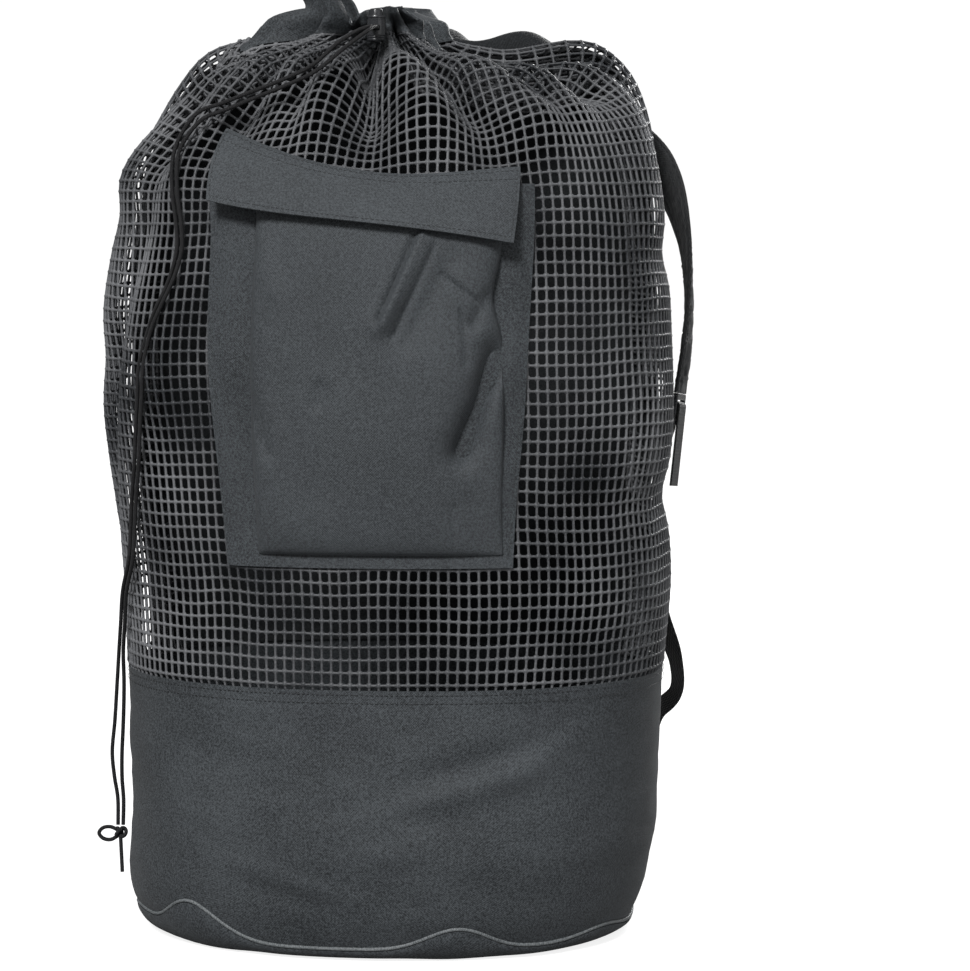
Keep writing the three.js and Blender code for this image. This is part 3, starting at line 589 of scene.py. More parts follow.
    @staticmethod
    def tube_loops(path: Array, radius: Array | float, sides: int, closed: bool = False) -> Array:
        """Return rings of points round a path.

        Args:
            path: Places along the middle.
            radius: The radius, or one for each place.
            sides: How many points a ring has.
            closed: Whether the path runs back to its start.

        Returns:
            The rings, one for each place.
        """
        wide = np.vstack([path[-1:], path, path[:1]]) if closed else path
        along = unit(np.gradient(wide, axis=0))
        along = along[1:-1] if closed else along
        side = unit(np.cross(along[0], [0.3, 0.2, 1.0]))
        sides_of = []
        for way in along:
            side = unit(side - way * side.dot(way))
            sides_of.append(side)
        across = np.array(sides_of)
        if closed:
            turn = np.cross(along[0], across[0])
            twist = math.atan2(across[-1].dot(turn), across[-1].dot(across[0]))
            undo = -twist * np.arange(len(path)) / len(path)
            up = np.cross(along, across)
            across = across * np.cos(undo)[:, None] + up * np.sin(undo)[:, None]
        up = np.cross(along, across)
        angle = np.arange(sides) * 2 * math.pi / sides
        ring = np.cos(angle)[None, :, None] * across[:, None] + np.sin(angle)[None, :, None] * up[:, None]
        radii = np.broadcast_to(radius, (len(path),))[:, None, None]
        return path[:, None] + ring * radii

    @staticmethod
    def polylines(name: str, lines: Sequence[Array]) -> bpy.types.Object:
        """Make an object of loose edges that follow lines."""
        edges, start = [], 0
        for line in lines:
            edges += [(start + k, start + k + 1) for k in range(len(line) - 1)]
            start += len(line)
        return Workshop.mesh_object(name, np.concatenate(lines), [], edges=edges)

    @staticmethod
    def join(name: str, items: Sequence[bpy.types.Object]) -> bpy.types.Object:
        """Join objects into the first one, under a new name."""
        with bpy.context.temp_override(
            active_object=items[0], object=items[0], selected_editable_objects=list(items)
        ):
            bpy.ops.object.join()
        items[0].name = items[0].data.name = name
        return items[0]


class Socket(Enum):
    """Kinds of node group socket."""

    GEOMETRY = "NodeSocketGeometry"
    NUMBER = "NodeSocketFloat"
    COUNT = "NodeSocketInt"
    VECTOR = "NodeSocketVector"
    MATERIAL = "NodeSocketMaterial"


class Graph:
    """A node tree under construction."""

    def __init__(self, tree: bpy.types.NodeTree) -> None:
        """Keep the tree that nodes are added to."""
        self.tree = tree

    @classmethod
    def group(
        cls, name: str, kind: str, inputs: dict[str, Socket], outputs: dict[str, Socket]
    ) -> "Graph":
        """Start a node group with named sockets.

        Args:
            name: The group's name.
            kind: The type of tree.
            inputs: Names and kinds of the inputs.
            outputs: Names and kinds of the outputs.

        Returns:
            The graph, with its input and output nodes as source and sink.
        """
        graph = cls(bpy.data.node_groups.new(name, kind))
        for sockets, way in ((inputs, "INPUT"), (outputs, "OUTPUT")):
            for label, socket in sockets.items():
                graph.tree.interface.new_socket(label, in_out=way, socket_type=socket.value)
        graph.source = graph.add("NodeGroupInput")
        graph.sink = graph.add("NodeGroupOutput")
        return graph

    def add(self, kind: str, **settings: object) -> bpy.types.Node:
        """Add a node with its settings."""
        node = self.tree.nodes.new(kind)
        for key, value in settings.items():
            setattr(node, key, value)
        return node

    def feed(self, node: bpy.types.Node, **values: object) -> bpy.types.Node:
        """Set or link inputs of a node.

        Args:
            node: The node.
            values: Values or output sockets by input name, or by number after an underscore.

        Returns:
            The node.
        """
        for key, value in values.items():
            spot = int(key[1:]) if key[0] == "_" else key.replace("_", " ")
            if isinstance(value, bpy.types.NodeSocket):
                self.tree.links.new(value, node.inputs[spot])
            else:
                node.inputs[spot].default_value = value
        return node

    def math(self, operation: str, *values: object) -> bpy.types.NodeSocket:
        """Add a Math node and return its result."""
        node = self.add("ShaderNodeMath", operation=operation)
        self.feed(node, **{f"_{k}": value for k, value in enumerate(values)})
        return node.outputs[0]


class StrandTree:
    """Geometry nodes that turn lines into round strands."""

    def __init__(self) -> None:
        """Build the tree."""
        graph = Graph.group(
            "strands", "GeometryNodeTree",
            {"Lines": Socket.GEOMETRY, "Radius": Socket.NUMBER, "Sides": Socket.COUNT,
             "Material": Socket.MATERIAL},
            {"Geometry": Socket.GEOMETRY},
        )
        source = graph.source.outputs
        curve = graph.feed(graph.add("GeometryNodeMeshToCurve"), Mesh=source["Lines"])
        ring = graph.add("GeometryNodeCurvePrimitiveCircle")
        graph.feed(ring, Radius=source["Radius"], Resolution=source["Sides"])
        tube = graph.add("GeometryNodeCurveToMesh")
        graph.feed(tube, Curve=curve.outputs[0], Profile_Curve=ring.outputs[0])
        smooth = graph.feed(graph.add("GeometryNodeSetShadeSmooth"), Geometry=tube.outputs[0])
        real = graph.feed(graph.add("GeometryNodeRealizeInstances"), Geometry=smooth.outputs[0])
        paint = graph.add("GeometryNodeSetMaterial")
        graph.feed(paint, Geometry=real.outputs[0], Material=source["Material"])
        graph.feed(graph.sink, Geometry=paint.outputs[0])
        self.tree = graph.tree


class JointTree:
    """Geometry nodes that lay flat knots on the crossings of the net."""

    def __init__(self) -> None:
        """Build the tree."""
        graph = Graph.group(
            "net joints", "GeometryNodeTree",
            {"Crossings": Socket.GEOMETRY, "Radius": Socket.NUMBER, "Flatness": Socket.NUMBER,
             "Material": Socket.MATERIAL},
            {"Geometry": Socket.GEOMETRY},
        )
        source = graph.source.outputs
        spots = graph.feed(graph.add("GeometryNodeMeshToPoints"), Mesh=source["Crossings"])
        way = graph.add("GeometryNodeInputNamedAttribute", data_type="FLOAT_VECTOR")
        graph.feed(way, Name="way")
        aim = graph.add("FunctionNodeAlignRotationToVector", axis="Z")
        graph.feed(aim, Vector=way.outputs[0])
        knot = graph.add("GeometryNodeMeshIcoSphere")
        graph.feed(knot, Radius=source["Radius"], Subdivisions=1)
        soft = graph.feed(graph.add("GeometryNodeSetShadeSmooth"), Geometry=knot.outputs[0])
        flat = graph.add("ShaderNodeCombineXYZ")
        graph.feed(flat, X=1.0, Y=1.0, Z=source["Flatness"])
        lay = graph.add("GeometryNodeInstanceOnPoints")
        graph.feed(lay, Points=spots.outputs[0], Instance=soft.outputs[0],
                   Rotation=aim.outputs[0], Scale=flat.outputs[0])
        real = graph.feed(graph.add("GeometryNodeRealizeInstances"), Geometry=lay.outputs[0])
        paint = graph.add("GeometryNodeSetMaterial")
        graph.feed(paint, Geometry=real.outputs[0], Material=source["Material"])
        graph.feed(graph.sink, Geometry=paint.outputs[0])
        self.tree = graph.tree


class StitchTree:
    """Geometry nodes that lay stitches along lines."""

    def __init__(self) -> None:
        """Build the tree."""
        graph = Graph.group(
            "stitches", "GeometryNodeTree",
            {"Lines": Socket.GEOMETRY, "Pitch": Socket.NUMBER, "Length": Socket.NUMBER,
             "Thickness": Socket.NUMBER, "Material": Socket.MATERIAL},
            {"Geometry": Socket.GEOMETRY},
        )
        source = graph.source.outputs
        curve = graph.feed(graph.add("GeometryNodeMeshToCurve"), Mesh=source["Lines"])
        spots = graph.add("GeometryNodeCurveToPoints", mode="LENGTH")
        graph.feed(spots, Curve=curve.outputs[0], Length=source["Pitch"])
        aim = graph.add("FunctionNodeAlignRotationToVector", axis="Z")
        graph.feed(aim, Vector=spots.outputs["Tangent"])
        bead = graph.add("GeometryNodeMeshIcoSphere")
        graph.feed(bead, Radius=0.5, Subdivisions=1)
        soft = graph.feed(graph.add("GeometryNodeSetShadeSmooth"), Geometry=bead.outputs[0])
        scale = graph.add("ShaderNodeCombineXYZ")
        graph.feed(scale, X=source["Thickness"], Y=source["Thickness"], Z=source["Length"])
        lay = graph.add("GeometryNodeInstanceOnPoints")
        graph.feed(lay, Points=spots.outputs[0], Instance=soft.outputs[0],
                   Rotation=aim.outputs[0], Scale=scale.outputs[0])
        real = graph.feed(graph.add("GeometryNodeRealizeInstances"), Geometry=lay.outputs[0])
        paint = graph.add("GeometryNodeSetMaterial")
        graph.feed(paint, Geometry=real.outputs[0], Material=source["Material"])
        graph.feed(graph.sink, Geometry=paint.outputs[0])
        self.tree = graph.tree


def grow(item: bpy.types.Object, tree: bpy.types.NodeTree, **values: object) -> bpy.types.Object:
    """Run a geometry tree on an object and keep the result as its mesh.

    Args:
        item: The object that holds the lines.
        tree: The geometry node tree.
        values: Inputs by name.

    Returns:
        The object, with a plain mesh and no modifier.
    """
    modifier = item.modifiers.new("shape", "NODES")
    modifier.node_group = tree
    for entry in tree.interface.items_tree:
        if entry.in_out == "INPUT" and entry.name in values:
            modifier[entry.identifier] = values[entry.name]
    evaluated = item.evaluated_get(bpy.context.evaluated_depsgraph_get())
    mesh = bpy.data.meshes.new_from_object(evaluated)
    item.modifiers.remove(modifier)
    mesh.materials.clear()
    mesh.materials.append(values["Material"])
    mesh.polygons.foreach_set("material_index", np.zeros(len(mesh.polygons), dtype=np.int32))
    old, item.data = item.data, mesh
    mesh.name = item.name
    bpy.data.meshes.remove(old)
    return item


class Effects:
    """Shader node groups that several finishes share."""

    def __init__(self) -> None:
        """Build every group once."""
        self.weave = self._weave()
        self.braid = self._braid()
        self.mottle = self._mottle()

    @staticmethod
    def _weave() -> bpy.types.NodeTree:
        """Build the plain weave, from a place on the cloth in metres."""
        graph = Graph.group(
            "plain weave", "ShaderNodeTree",
            {"Vector": Socket.VECTOR, "Thread Across": Socket.NUMBER, "Thread Along": Socket.NUMBER},
            {"Height": Socket.NUMBER},
        )
        source = graph.source.outputs
        parts = graph.feed(graph.add("ShaderNodeSeparateXYZ"), Vector=source["Vector"])
        waves = []
        for axis, pitch in (("X", "Thread Across"), ("Y", "Thread Along")):
            count = graph.math("DIVIDE", parts.outputs[axis], source[pitch])
            waves.append(graph.math("SINE", graph.math("MULTIPLY", count, math.pi)))
        height = graph.math("MULTIPLY", *waves)
        graph.feed(graph.sink, Height=height)
        return graph.tree

    @staticmethod
    def _braid() -> bpy.types.NodeTree:
        """Build the braid of a cord, from its place round and along in metres."""
        graph = Graph.group(
            "braid", "ShaderNodeTree",
            {"Vector": Socket.VECTOR, "Strand": Socket.NUMBER}, {"Height": Socket.NUMBER},
        )
        source = graph.source.outputs
        parts = graph.feed(graph.add("ShaderNodeSeparateXYZ"), Vector=source["Vector"])
        waves = []
        for way in ("ADD", "SUBTRACT"):
            slant = graph.math(way, parts.outputs["X"], parts.outputs["Y"])
            count = graph.math("DIVIDE", slant, source["Strand"])
            waves.append(graph.math("SINE", graph.math("MULTIPLY", count, math.pi)))
        graph.feed(graph.sink, Height=graph.math("ABSOLUTE", graph.math("MULTIPLY", *waves)))
        return graph.tree

    @staticmethod
    def _mottle() -> bpy.types.NodeTree:
        """Build the uneven shade of coated cloth, in broad patches and fine specks."""
        graph = Graph.group(
            "mottle", "ShaderNodeTree",
            {"Vector": Socket.VECTOR, "Patch Scale": Socket.NUMBER, "Speck Scale": Socket.NUMBER,
             "Speck Share": Socket.NUMBER},
            {"Shade": Socket.NUMBER},
        )
        source = graph.source.outputs
        shades = []
        for scale in ("Patch Scale", "Speck Scale"):
            cloud = graph.add("ShaderNodeTexNoise")
            graph.feed(cloud, Vector=source["Vector"], Scale=source[scale], Detail=3.0)
            shades.append(cloud.outputs[0])
        mix = graph.add("ShaderNodeMix", data_type="FLOAT")
        graph.feed(mix, Factor=source["Speck Share"], A=shades[0], B=shades[1])
        graph.feed(graph.sink, Shade=mix.outputs[0])
        return graph.tree


@dataclass(frozen=True)
class Finish:
    """A finish whose shade and roughness vary over the surface."""

    name: str
    dark: tuple[float, float, float]
    light: tuple[float, float, float]
    smoothest: float
    roughest: float
    pattern: str
    pitch: float
    along: float
    relief: float
    patch: float = 14.0
    speck: float = 760.0
    speck_share: float = 0.80
    sheen: float = 0.0
    specular: float = 0.5

    def build(self, effects: Effects) -> bpy.types.Material:
        """Build the material.

        Args:
            effects: The shared node groups.

        Returns:
            The material.
        """
        material = bpy.data.materials.new(self.name)
        material.use_nodes = True
        graph = Graph(material.node_tree)
        shader = material.node_tree.nodes["Principled BSDF"]
        place = graph.add("ShaderNodeTexCoord")
        shade = graph.add("ShaderNodeGroup", node_tree=effects.mottle)
        graph.feed(shade, Vector=place.outputs["Object"], Patch_Scale=self.patch,
                   Speck_Scale=self.speck, Speck_Share=self.speck_share)
        spread = graph.add("ShaderNodeMapRange")
        graph.feed(spread, Value=shade.outputs[0], From_Min=0.37, From_Max=0.63)
        colour = graph.add("ShaderNodeMix", data_type="RGBA")
        graph.feed(colour, _0=spread.outputs[0], _6=(*self.dark, 1.0), _7=(*self.light, 1.0))
        gloss = graph.add("ShaderNodeMapRange")
        graph.feed(gloss, Value=shade.outputs[0], From_Min=0.3, From_Max=0.7,
                   To_Min=self.smoothest, To_Max=self.roughest)
        height = spread.outputs[0]
        if self.pattern:
            threads = graph.add("ShaderNodeGroup", node_tree=getattr(effects, self.pattern))
            graph.feed(threads, Vector=place.outputs["UV"])
            for number, value in enumerate((self.pitch, self.along)[: len(threads.inputs) - 1]):
                threads.inputs[number + 1].default_value = value
            rough = graph.math("MULTIPLY", spread.outputs[0], 0.35)
            height = graph.math("ADD", threads.outputs[0], rough)
        bump = graph.add("ShaderNodeBump")
        graph.feed(bump, Height=height, Strength=1.0, Distance=self.relief)
        graph.feed(shader, Base_Color=colour.outputs[2], Roughness=gloss.outputs[0],
                   Normal=bump.outputs[0], Sheen_Weight=self.sheen, Sheen_Roughness=0.5,
                   Specular_IOR_Level=self.specular)
        return material


class Palette:
    """Every finish of the bag, built once."""

    def __init__(self) -> None:
        """Build the materials."""
        effects = Effects()
        finishes = (
            Finish("coated cloth", (0.016, 0.018, 0.02), (0.06, 0.067, 0.073), 0.5, 0.72,
                   "weave", 0.0009, 0.0009, 0.00012, sheen=0.03, specular=0.18),
            Finish("pocket cloth", (0.026, 0.029, 0.032), (0.062, 0.069, 0.075), 0.5, 0.7,
                   "weave", 0.0009, 0.0009, 0.00012, sheen=0.03, specular=0.18),
            Finish("back cloth", (0.008, 0.009, 0.01), (0.022, 0.024, 0.026), 0.55, 0.75,
                   "weave", 0.0011, 0.0011, 0.00014, sheen=0.02, specular=0.12),
            Finish("net strand", (0.022, 0.024, 0.027), (0.135, 0.138, 0.145), 0.42, 0.62,
                   "", 0, 0, 0.0001, patch=11.0, speck=900.0, speck_share=0.3, specular=0.3),
            Finish("piping", (0.06, 0.068, 0.072), (0.15, 0.16, 0.165), 0.4, 0.6,
                   "weave", 0.0008, 0.0008, 0.0001, specular=0.3),
            Finish("webbing", (0.01, 0.01, 0.011), (0.024, 0.025, 0.026), 0.55, 0.75,
                   "weave", 0.0017, 0.0026, 0.0003, sheen=0.04, specular=0.2),
            Finish("pad cloth", (0.012, 0.013, 0.014), (0.034, 0.036, 0.038), 0.6, 0.8,
                   "weave", 0.0011, 0.0011, 0.00015, sheen=0.05, specular=0.2),
            Finish("cord", (0.005, 0.005, 0.006), (0.014, 0.014, 0.015), 0.45, 0.62,
                   "braid", 0.0013, 0, 0.00025, sheen=0.03, specular=0.2),
            Finish("thread", (0.015, 0.016, 0.017), (0.04, 0.041, 0.043), 0.45, 0.6,
                   "", 0, 0, 0.00005, speck=1500.0, specular=0.25),
            Finish("moulded plastic", (0.012, 0.013, 0.015), (0.02, 0.021, 0.024), 0.22, 0.34,
                   "", 0, 0, 0.00002, speck=1200.0, specular=0.45),
        )
        self.made = {finish.name: finish.build(effects) for finish in finishes}

    def __getitem__(self, name: str) -> bpy.types.Material:
        """Return a material by its name."""
        return self.made[name]


@dataclass
class Maker:
    """What every sub-assembly is made with."""

    sack: Sack
    palette: Palette
    strands: bpy.types.NodeTree
    joints: bpy.types.NodeTree
    stitches: bpy.types.NodeTree

    def keep(
        self, item: bpy.types.Object, slot: str, *nodes: str, body: str = "bag"
    ) -> bpy.types.Object:
        """Let a piece ride on a body and stand for CAD nodes.

        Args:
            item: The piece.
            slot: Not used.
            nodes: The CAD nodes that it replaces.
            body: The body that it rides on.

        Returns:
            The piece.
        """
        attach(item, body)
        if nodes:
            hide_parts(*nodes)
        log.info("%s: %d faces", item.name, len(item.data.polygons))
        return item

    def cloth(
        self, item: bpy.types.Object, held: str, rests_on: Sequence[str], slot: str, *nodes: str,
        area: float | None = None,
    ) -> bpy.types.Object:
        self.keep(item, slot, *nodes)
        return item

    def sew(self, name: str, lines: Sequence[Array], pitch: float = 3.6) -> bpy.types.Object:
        """Lay stitches along lines.

        Args:
            name: The piece's name.
            lines: Lines of places in millimetres, on the cloth's face.
            pitch: Distance between stitches in millimetres.

        Returns:
            The piece.
        """
        item = Workshop.polylines(name, lines)
        grow(item, self.stitches, Pitch=pitch * MM, Length=pitch * 0.72 * MM,
             Thickness=0.55 * MM, Material=self.palette["thread"])
        return self.keep(item, "cloth")


@dataclass
class Foot:
    """The base, the piping and the cloth band."""

    maker: Maker
    share: float = 0.86
    seam_height: float = 10
    seam_hump: float = 28
    piping_radius: float = 1.45
    crease: float = 1.7
    columns: int = 288

    def seam(self, turn: Array, up: float) -> Array:
        """Return places on the wandering bottom seam."""
        sack = self.maker.sack
        humps = sum(
            rise * bell(nearest(turn - at) / breadth) for at, breadth, rise in SEAM_HUMPS)
        height = self.seam_height + self.seam_hump * humps
        point = sack.plain_wall(turn, sack.row_at(turn, height))
        point[..., 2] = height + up
        return point

    def base(self) -> None:
        """Make the base, flat in the middle and rolled up to the seam."""
        sizes = self.maker.sack.sizes
        turns = np.arange(self.columns) / self.columns
        lifts = np.linspace(0, 1, 15)
        seam = self.seam(turns, -self.piping_radius - sizes.seam_gap)
        flat = [0.02, 0.25, 0.5, 0.7, self.share]
        floor = sizes.cloth_wall / 2
        rows = [np.stack([seam[:, 0] * out, seam[:, 1] * out, np.full(len(turns), floor)], 1)
                for out in flat[:-1]]
        for lift in lifts:
            out = self.share + (1 - self.share) * math.sin(lift * math.pi / 2)
            height = floor + (seam[:, 2] - floor) * (1 - math.cos(lift * math.pi / 2))
            rows.append(np.stack([seam[:, 0] * out, seam[:, 1] * out, height], 1))
        grid = np.stack(rows, axis=1)
        fold = crumple(grid, 38, 3.0) * np.clip((grid[..., 2] - 2) / 8, 0, 1)
        inward = unit(grid * [1, 1, 0])
        grid = grid - inward * (1.6 * np.abs(fold) * np.linspace(0, 1, grid.shape[1]) *
                                np.linspace(1, 0, grid.shape[1]) * 4)[..., None]
        item = Workshop.sheet(
            "base_cloth", grid, sizes.cloth_wall, self.maker.palette["coated cloth"], ring=True)
        item["flat"] = (0.41, 0.29)
        self.maker.cloth(item, "stretched", ["bottom_cord"], "cloth", "base_panel")

    def piping(self) -> None:
        """Make the light piping round the bottom seam."""
        turns = np.arange(self.columns) / self.columns
        loops = Workshop.tube_loops(self.seam(turns, 0), self.piping_radius, 10, closed=True)
        item = Workshop.loft("bottom_cord", loops, self.maker.palette["piping"], ring=True)
        self.maker.keep(item, "trim", "bottom_piping")

    def band(self) -> None:
        """Make the cloth band with its soft wrinkles, and its stitching."""
        sack = self.maker.sack
        sizes = sack.sizes
        turns = (np.arange(self.columns) / self.columns)[:, None]
        shares = np.concatenate([[0, 0.02], np.linspace(0.05, 0.95, 34), [0.98, 1]])[None]
        bottom = self.seam(turns[:, 0], self.piping_radius + sizes.seam_gap)[:, None]
        height = bottom[..., 2] + (sizes.band_height - bottom[..., 2]) * shares
        grid = sack.wall(turns, sack.row_at(turns, height))
        grid[..., 2] = height
        out = sack.normal(sack.plain_wall, np.broadcast_to(turns, height.shape),
                          sack.row_at(turns, height))
        squeezed = grid * [0.55, 0.55, 1.6]
        soft = crumple(squeezed, 60, 1.7) + 0.4 * crumple(squeezed, 22, 5.0)
        for at, level, breadth, tall, slope, push in BAND_FOLDS:
            away = nearest(turns - at)
            line = level + slope * away * sack.girth
            soft = soft + push / self.crease * (
                bell(away / breadth) * bell((height - line) / tall))
        hold = np.sin(np.clip(shares, 0, 1) * math.pi) ** 0.5
        grid = grid + out * (self.crease * soft * hold - 0.6)[..., None]
        grid[:, -2:, :2] = grid[:, -2:, :2]
        item = Workshop.sheet(
            "band_cloth", grid, sizes.cloth_wall, self.maker.palette["coated cloth"], ring=True)
        self.maker.cloth(item, "stretched", ["bottom_cord", "net"], "cloth", "lower_band")
        lines = []
        for below in (3.0, 9.0):
            level = np.full(self.columns, sizes.band_height - below)
            rows = sack.row_at(turns[:, 0], level)
            place = sack.wall(turns[:, 0], rows)
            way = sack.normal(sack.plain_wall, turns[:, 0], rows)
            lines.append(np.vstack([place + way * 0.9, (place + way * 0.9)[:1]]))
        self.maker.sew("band_stitches", lines)

    def build(self) -> None:
        """Build the foot."""
        self.piping()
        self.base()
        self.band()


@dataclass
class NetWall:
    """The square net round the front and both sides."""

    maker: Maker
    warps: int = 107
    wefts: int = 63
    strand: float = 1.04
    sides: int = 6
    joint: float = 2.6
    joint_depth: float = 1.3
    fine_from: float = 10

    def rows(self) -> Array:
        """Return rows that are evenly spaced along the cloth."""
        sack = self.maker.sack
        fine = np.linspace(sack.TUCK_ROW, NECK, 400)
        turns = np.linspace(-0.3, 0.3, 13)[:, None]
        places = sack.plain_wall(turns, fine[None])
        steps = np.linalg.norm(np.diff(places, axis=1), axis=2).mean(axis=0)
        lengths = np.concatenate([[0], np.cumsum(steps)])
        self.height = float(lengths[-1])
        return np.interp(np.linspace(0, lengths[-1], self.wefts), lengths, fine)

    def build(self) -> None:
        """Build the net's two sets of strands and the flat knots at their crossings."""
        sack = self.maker.sack
        edge = (sack.sizes.seam_gap + sack.sizes.net_wall) / (2 * sack.girth)
        turns = np.linspace(NET_LEFT + edge, NET_RIGHT - edge, 2 * self.warps - 1)
        rows = self.rows()
        t, r = np.meshgrid(turns, rows, indexing="ij")
        flat = np.stack([t * sack.girth, r * 40, np.zeros_like(t)], axis=-1)
        loose = np.clip((r - rows[0]) * 2, 0, 1)
        t = t + crumple(flat, 70, 8.0) * 0.0016 * loose
        r = np.clip(r + crumple(flat, 70, 21.0) * 0.035 * loose, rows[0], NECK)
        fine = sack.gathered(t, r)
        grid = fine[::2]
        lines = [*grid]
        for column, row in enumerate(rows):
            lines.append((fine if row > self.fine_from else grid)[:, column])
        item = Workshop.polylines("net", lines)
        grow(item, self.maker.strands, Radius=self.strand * MM, Sides=self.sides,
             Material=self.maker.palette["net strand"])
        item["flat"] = ((NET_RIGHT - NET_LEFT) * sack.girth * MM, self.height * MM)
        self.maker.cloth(item, "gathered", ["band_cloth", "hem"], "net", "net_body")
        self.joints(grid)

    def joints(self, grid: Array) -> None:
        """Round the net's corners with a small flat knot at each crossing.

        Args:
            grid: The crossings, across and then up.
        """
        way = unit(np.cross(np.gradient(grid, axis=0), np.gradient(grid, axis=1)))
        item = Workshop.mesh_object("net_joints", grid.reshape(-1, 3), [])
        layer = item.data.attributes.new("way", "FLOAT_VECTOR", "POINT")
        layer.data.foreach_set("vector", way.astype(np.float32).ravel())
        grow(item, self.maker.joints, Radius=self.joint * MM,
             Flatness=self.joint_depth / self.joint, Material=self.maker.palette["net strand"])
        self.maker.keep(item, "net")


@dataclass
class BackAndHem:
    """The cloth back and the ruffled hem round the mouth."""

    maker: Maker
    lap: float = 30
    notch: float = -23

    def back(self) -> None:
        """Make the back panel, lapped over the net's edges, and its side seams."""
        sack = self.maker.sack
        sizes = sack.sizes
        lap = self.lap / sack.girth
        count = 170
        turns = np.linspace(NET_RIGHT - lap, NET_LEFT + 1 + lap, count)[:, None]
        rows = np.linspace(sack.TUCK_ROW, NECK, 124)[None]
        grid = sack.gathered(turns, rows)
        out = sack.normal(sack.plain_wall, *np.broadcast_arrays(turns, rows))
        edge = np.minimum(turns - turns[0], turns[-1] - turns) / lap
        over = (sizes.net_wall + sizes.cloth_wall) / 2 + 0.2
        over = over * (1 - ease(edge - 1)) * ease((rows - BAND_TOP) / 0.05)
        hold = ease((edge - 1) / 2) * np.clip((rows - BAND_TOP) * 1.5, 0, 1)
        soft = 1.8 * (crumple(grid * [1.4, 1, 0.5], 45, 11.0) - 0.3)
        grid = grid + out * (over + soft * hold)[..., None]
        item = Workshop.sheet(
            "back_cloth", grid, sizes.cloth_wall, self.maker.palette["back cloth"])
        self.maker.cloth(item, "gathered", ["band_cloth", "hem"], "cloth", "back_panel")
        lines = []
        stop = -10
        for column in (1, 5, -6, -2):
            lift = sizes.cloth_wall / 2 + 0.12
            lines.append((grid + out * lift)[column, 6:stop])
        self.maker.sew("side_stitches", lines, pitch=4)

    def hem(self) -> None:
        """Make the hem, with finer ruffles and the cord's channel."""
        sack = self.maker.sack
        sizes = sack.sizes
        turns = (np.arange(360) / 360)[:, None]
        gap = 2 * sizes.lay_gap / (sack.table[NECK + 1, 0] - sack.table[NECK, 0])
        rows = np.linspace(NECK + gap, HEM_TOP, 26)[None]
        grid = sack.gathered(turns, rows)
        t, r = np.broadcast_arrays(turns, rows)
        way = sack.normal(sack.plain_wall, t, r)
        way[..., 2] = 0
        way = unit(way)
        share = (r - NECK) / (HEM_TOP - NECK)
        ruffle = np.sin(2 * math.pi * (37 * t + 0.3 * np.sin(2 * math.pi * 5 * t)))
        ruffle = ruffle * (0.4 + 0.6 * np.sin(2 * math.pi * 3 * t + 1))
        channel = 1.1 * bell((share - 0.32) / 0.16)
        grid = grid + way * (1.3 * ruffle * share ** 0.7 + channel)[..., None]
        grid[..., 2] += 1.2 * np.sin(2 * math.pi * 9 * turns + 0.7) * share ** 2
        x, rise = grid[..., 0], grid[..., 2] - sizes.neck_height
        keep = 1 - 0.66 * bell((x - self.notch) / 8) - 0.22 * ease((x - self.notch) / 14)
        grid[..., 2] = sizes.neck_height + rise * (1 + (keep - 1) * share ** 0.6)
        item = Workshop.sheet(
            "hem", grid, sizes.cloth_wall * 1.25, self.maker.palette["coated cloth"], ring=True)
        self.maker.cloth(item, "gathered", ["net", "back_cloth"], "cloth", "hem_collar")
        lines = []
        for spot in (0.56, 0.12):
            at = int(round(spot * 25))
            line = grid[:, at] + way[:, at] * sizes.cloth_wall * 0.66
            lines.append(np.vstack([line, line[:1]]))
        self.maker.sew("hem_stitches", lines, pitch=2.6)

    def build(self) -> None:
        """Build the back and the hem."""
        self.back()
        self.hem()


# Across and up where a fold starts, and where it ends, then its breadth and push
POCKET_FOLDS = (
    ((0.96, 0.58), (0.66, 0.3), 0.07, -0.62),
    ((0.9, 0), (0.85, 0.3), 0.13, -0.5),
    ((0.39, 0.88), (0.05, 0.66), 0.045, 0.3),
    ((0.6, 0.84), (0.25, 0.62), 0.05, -0.2),
    ((-0.9, 0.85), (-0.6, 0.2), 0.12, -0.12),
)
FINE_FOLDS = (
    ((0.94, 0.575), (0.9, 0.5), 0.05, -0.35),
    ((0.92, 0.55), (0.67, 0.3), 0.034, -0.62),
    ((0.38, 0.92), (0.06, 0.66), 0.013, 0.2),
    ((0.31, 0.91), (0.02, 0.67), 0.014, -0.26),
    ((0.46, 0.88), (0.14, 0.63), 0.016, -0.24),
    ((0.52, 0.8), (0.84, 0.73), 0.012, -0.2),
    ((0.68, 0.7), (0.7, 0.55), 0.014, -0.16),
    ((0.78, 0.66), (0.95, 0.74), 0.03, -0.3),
    ((-0.98, 0.45), (-0.85, 0.3), 0.03, -0.16),
    ((-0.42, 0.48), (-0.44, 0.44), 0.03, -0.14),
    ((0.6, 0.14), (0.6, 0), 0.012, -0.1),
    ((-0.95, 0.9), (-0.8, 0.75), 0.05, 0.12),
)
FLAP_EDGES = ((-1, 0.52, 1.42), (-0.5, 0.36, 1.1), (0, 0.26, 0.9), (0.5, 0.15, 0.89), (1, 0, 0.97))


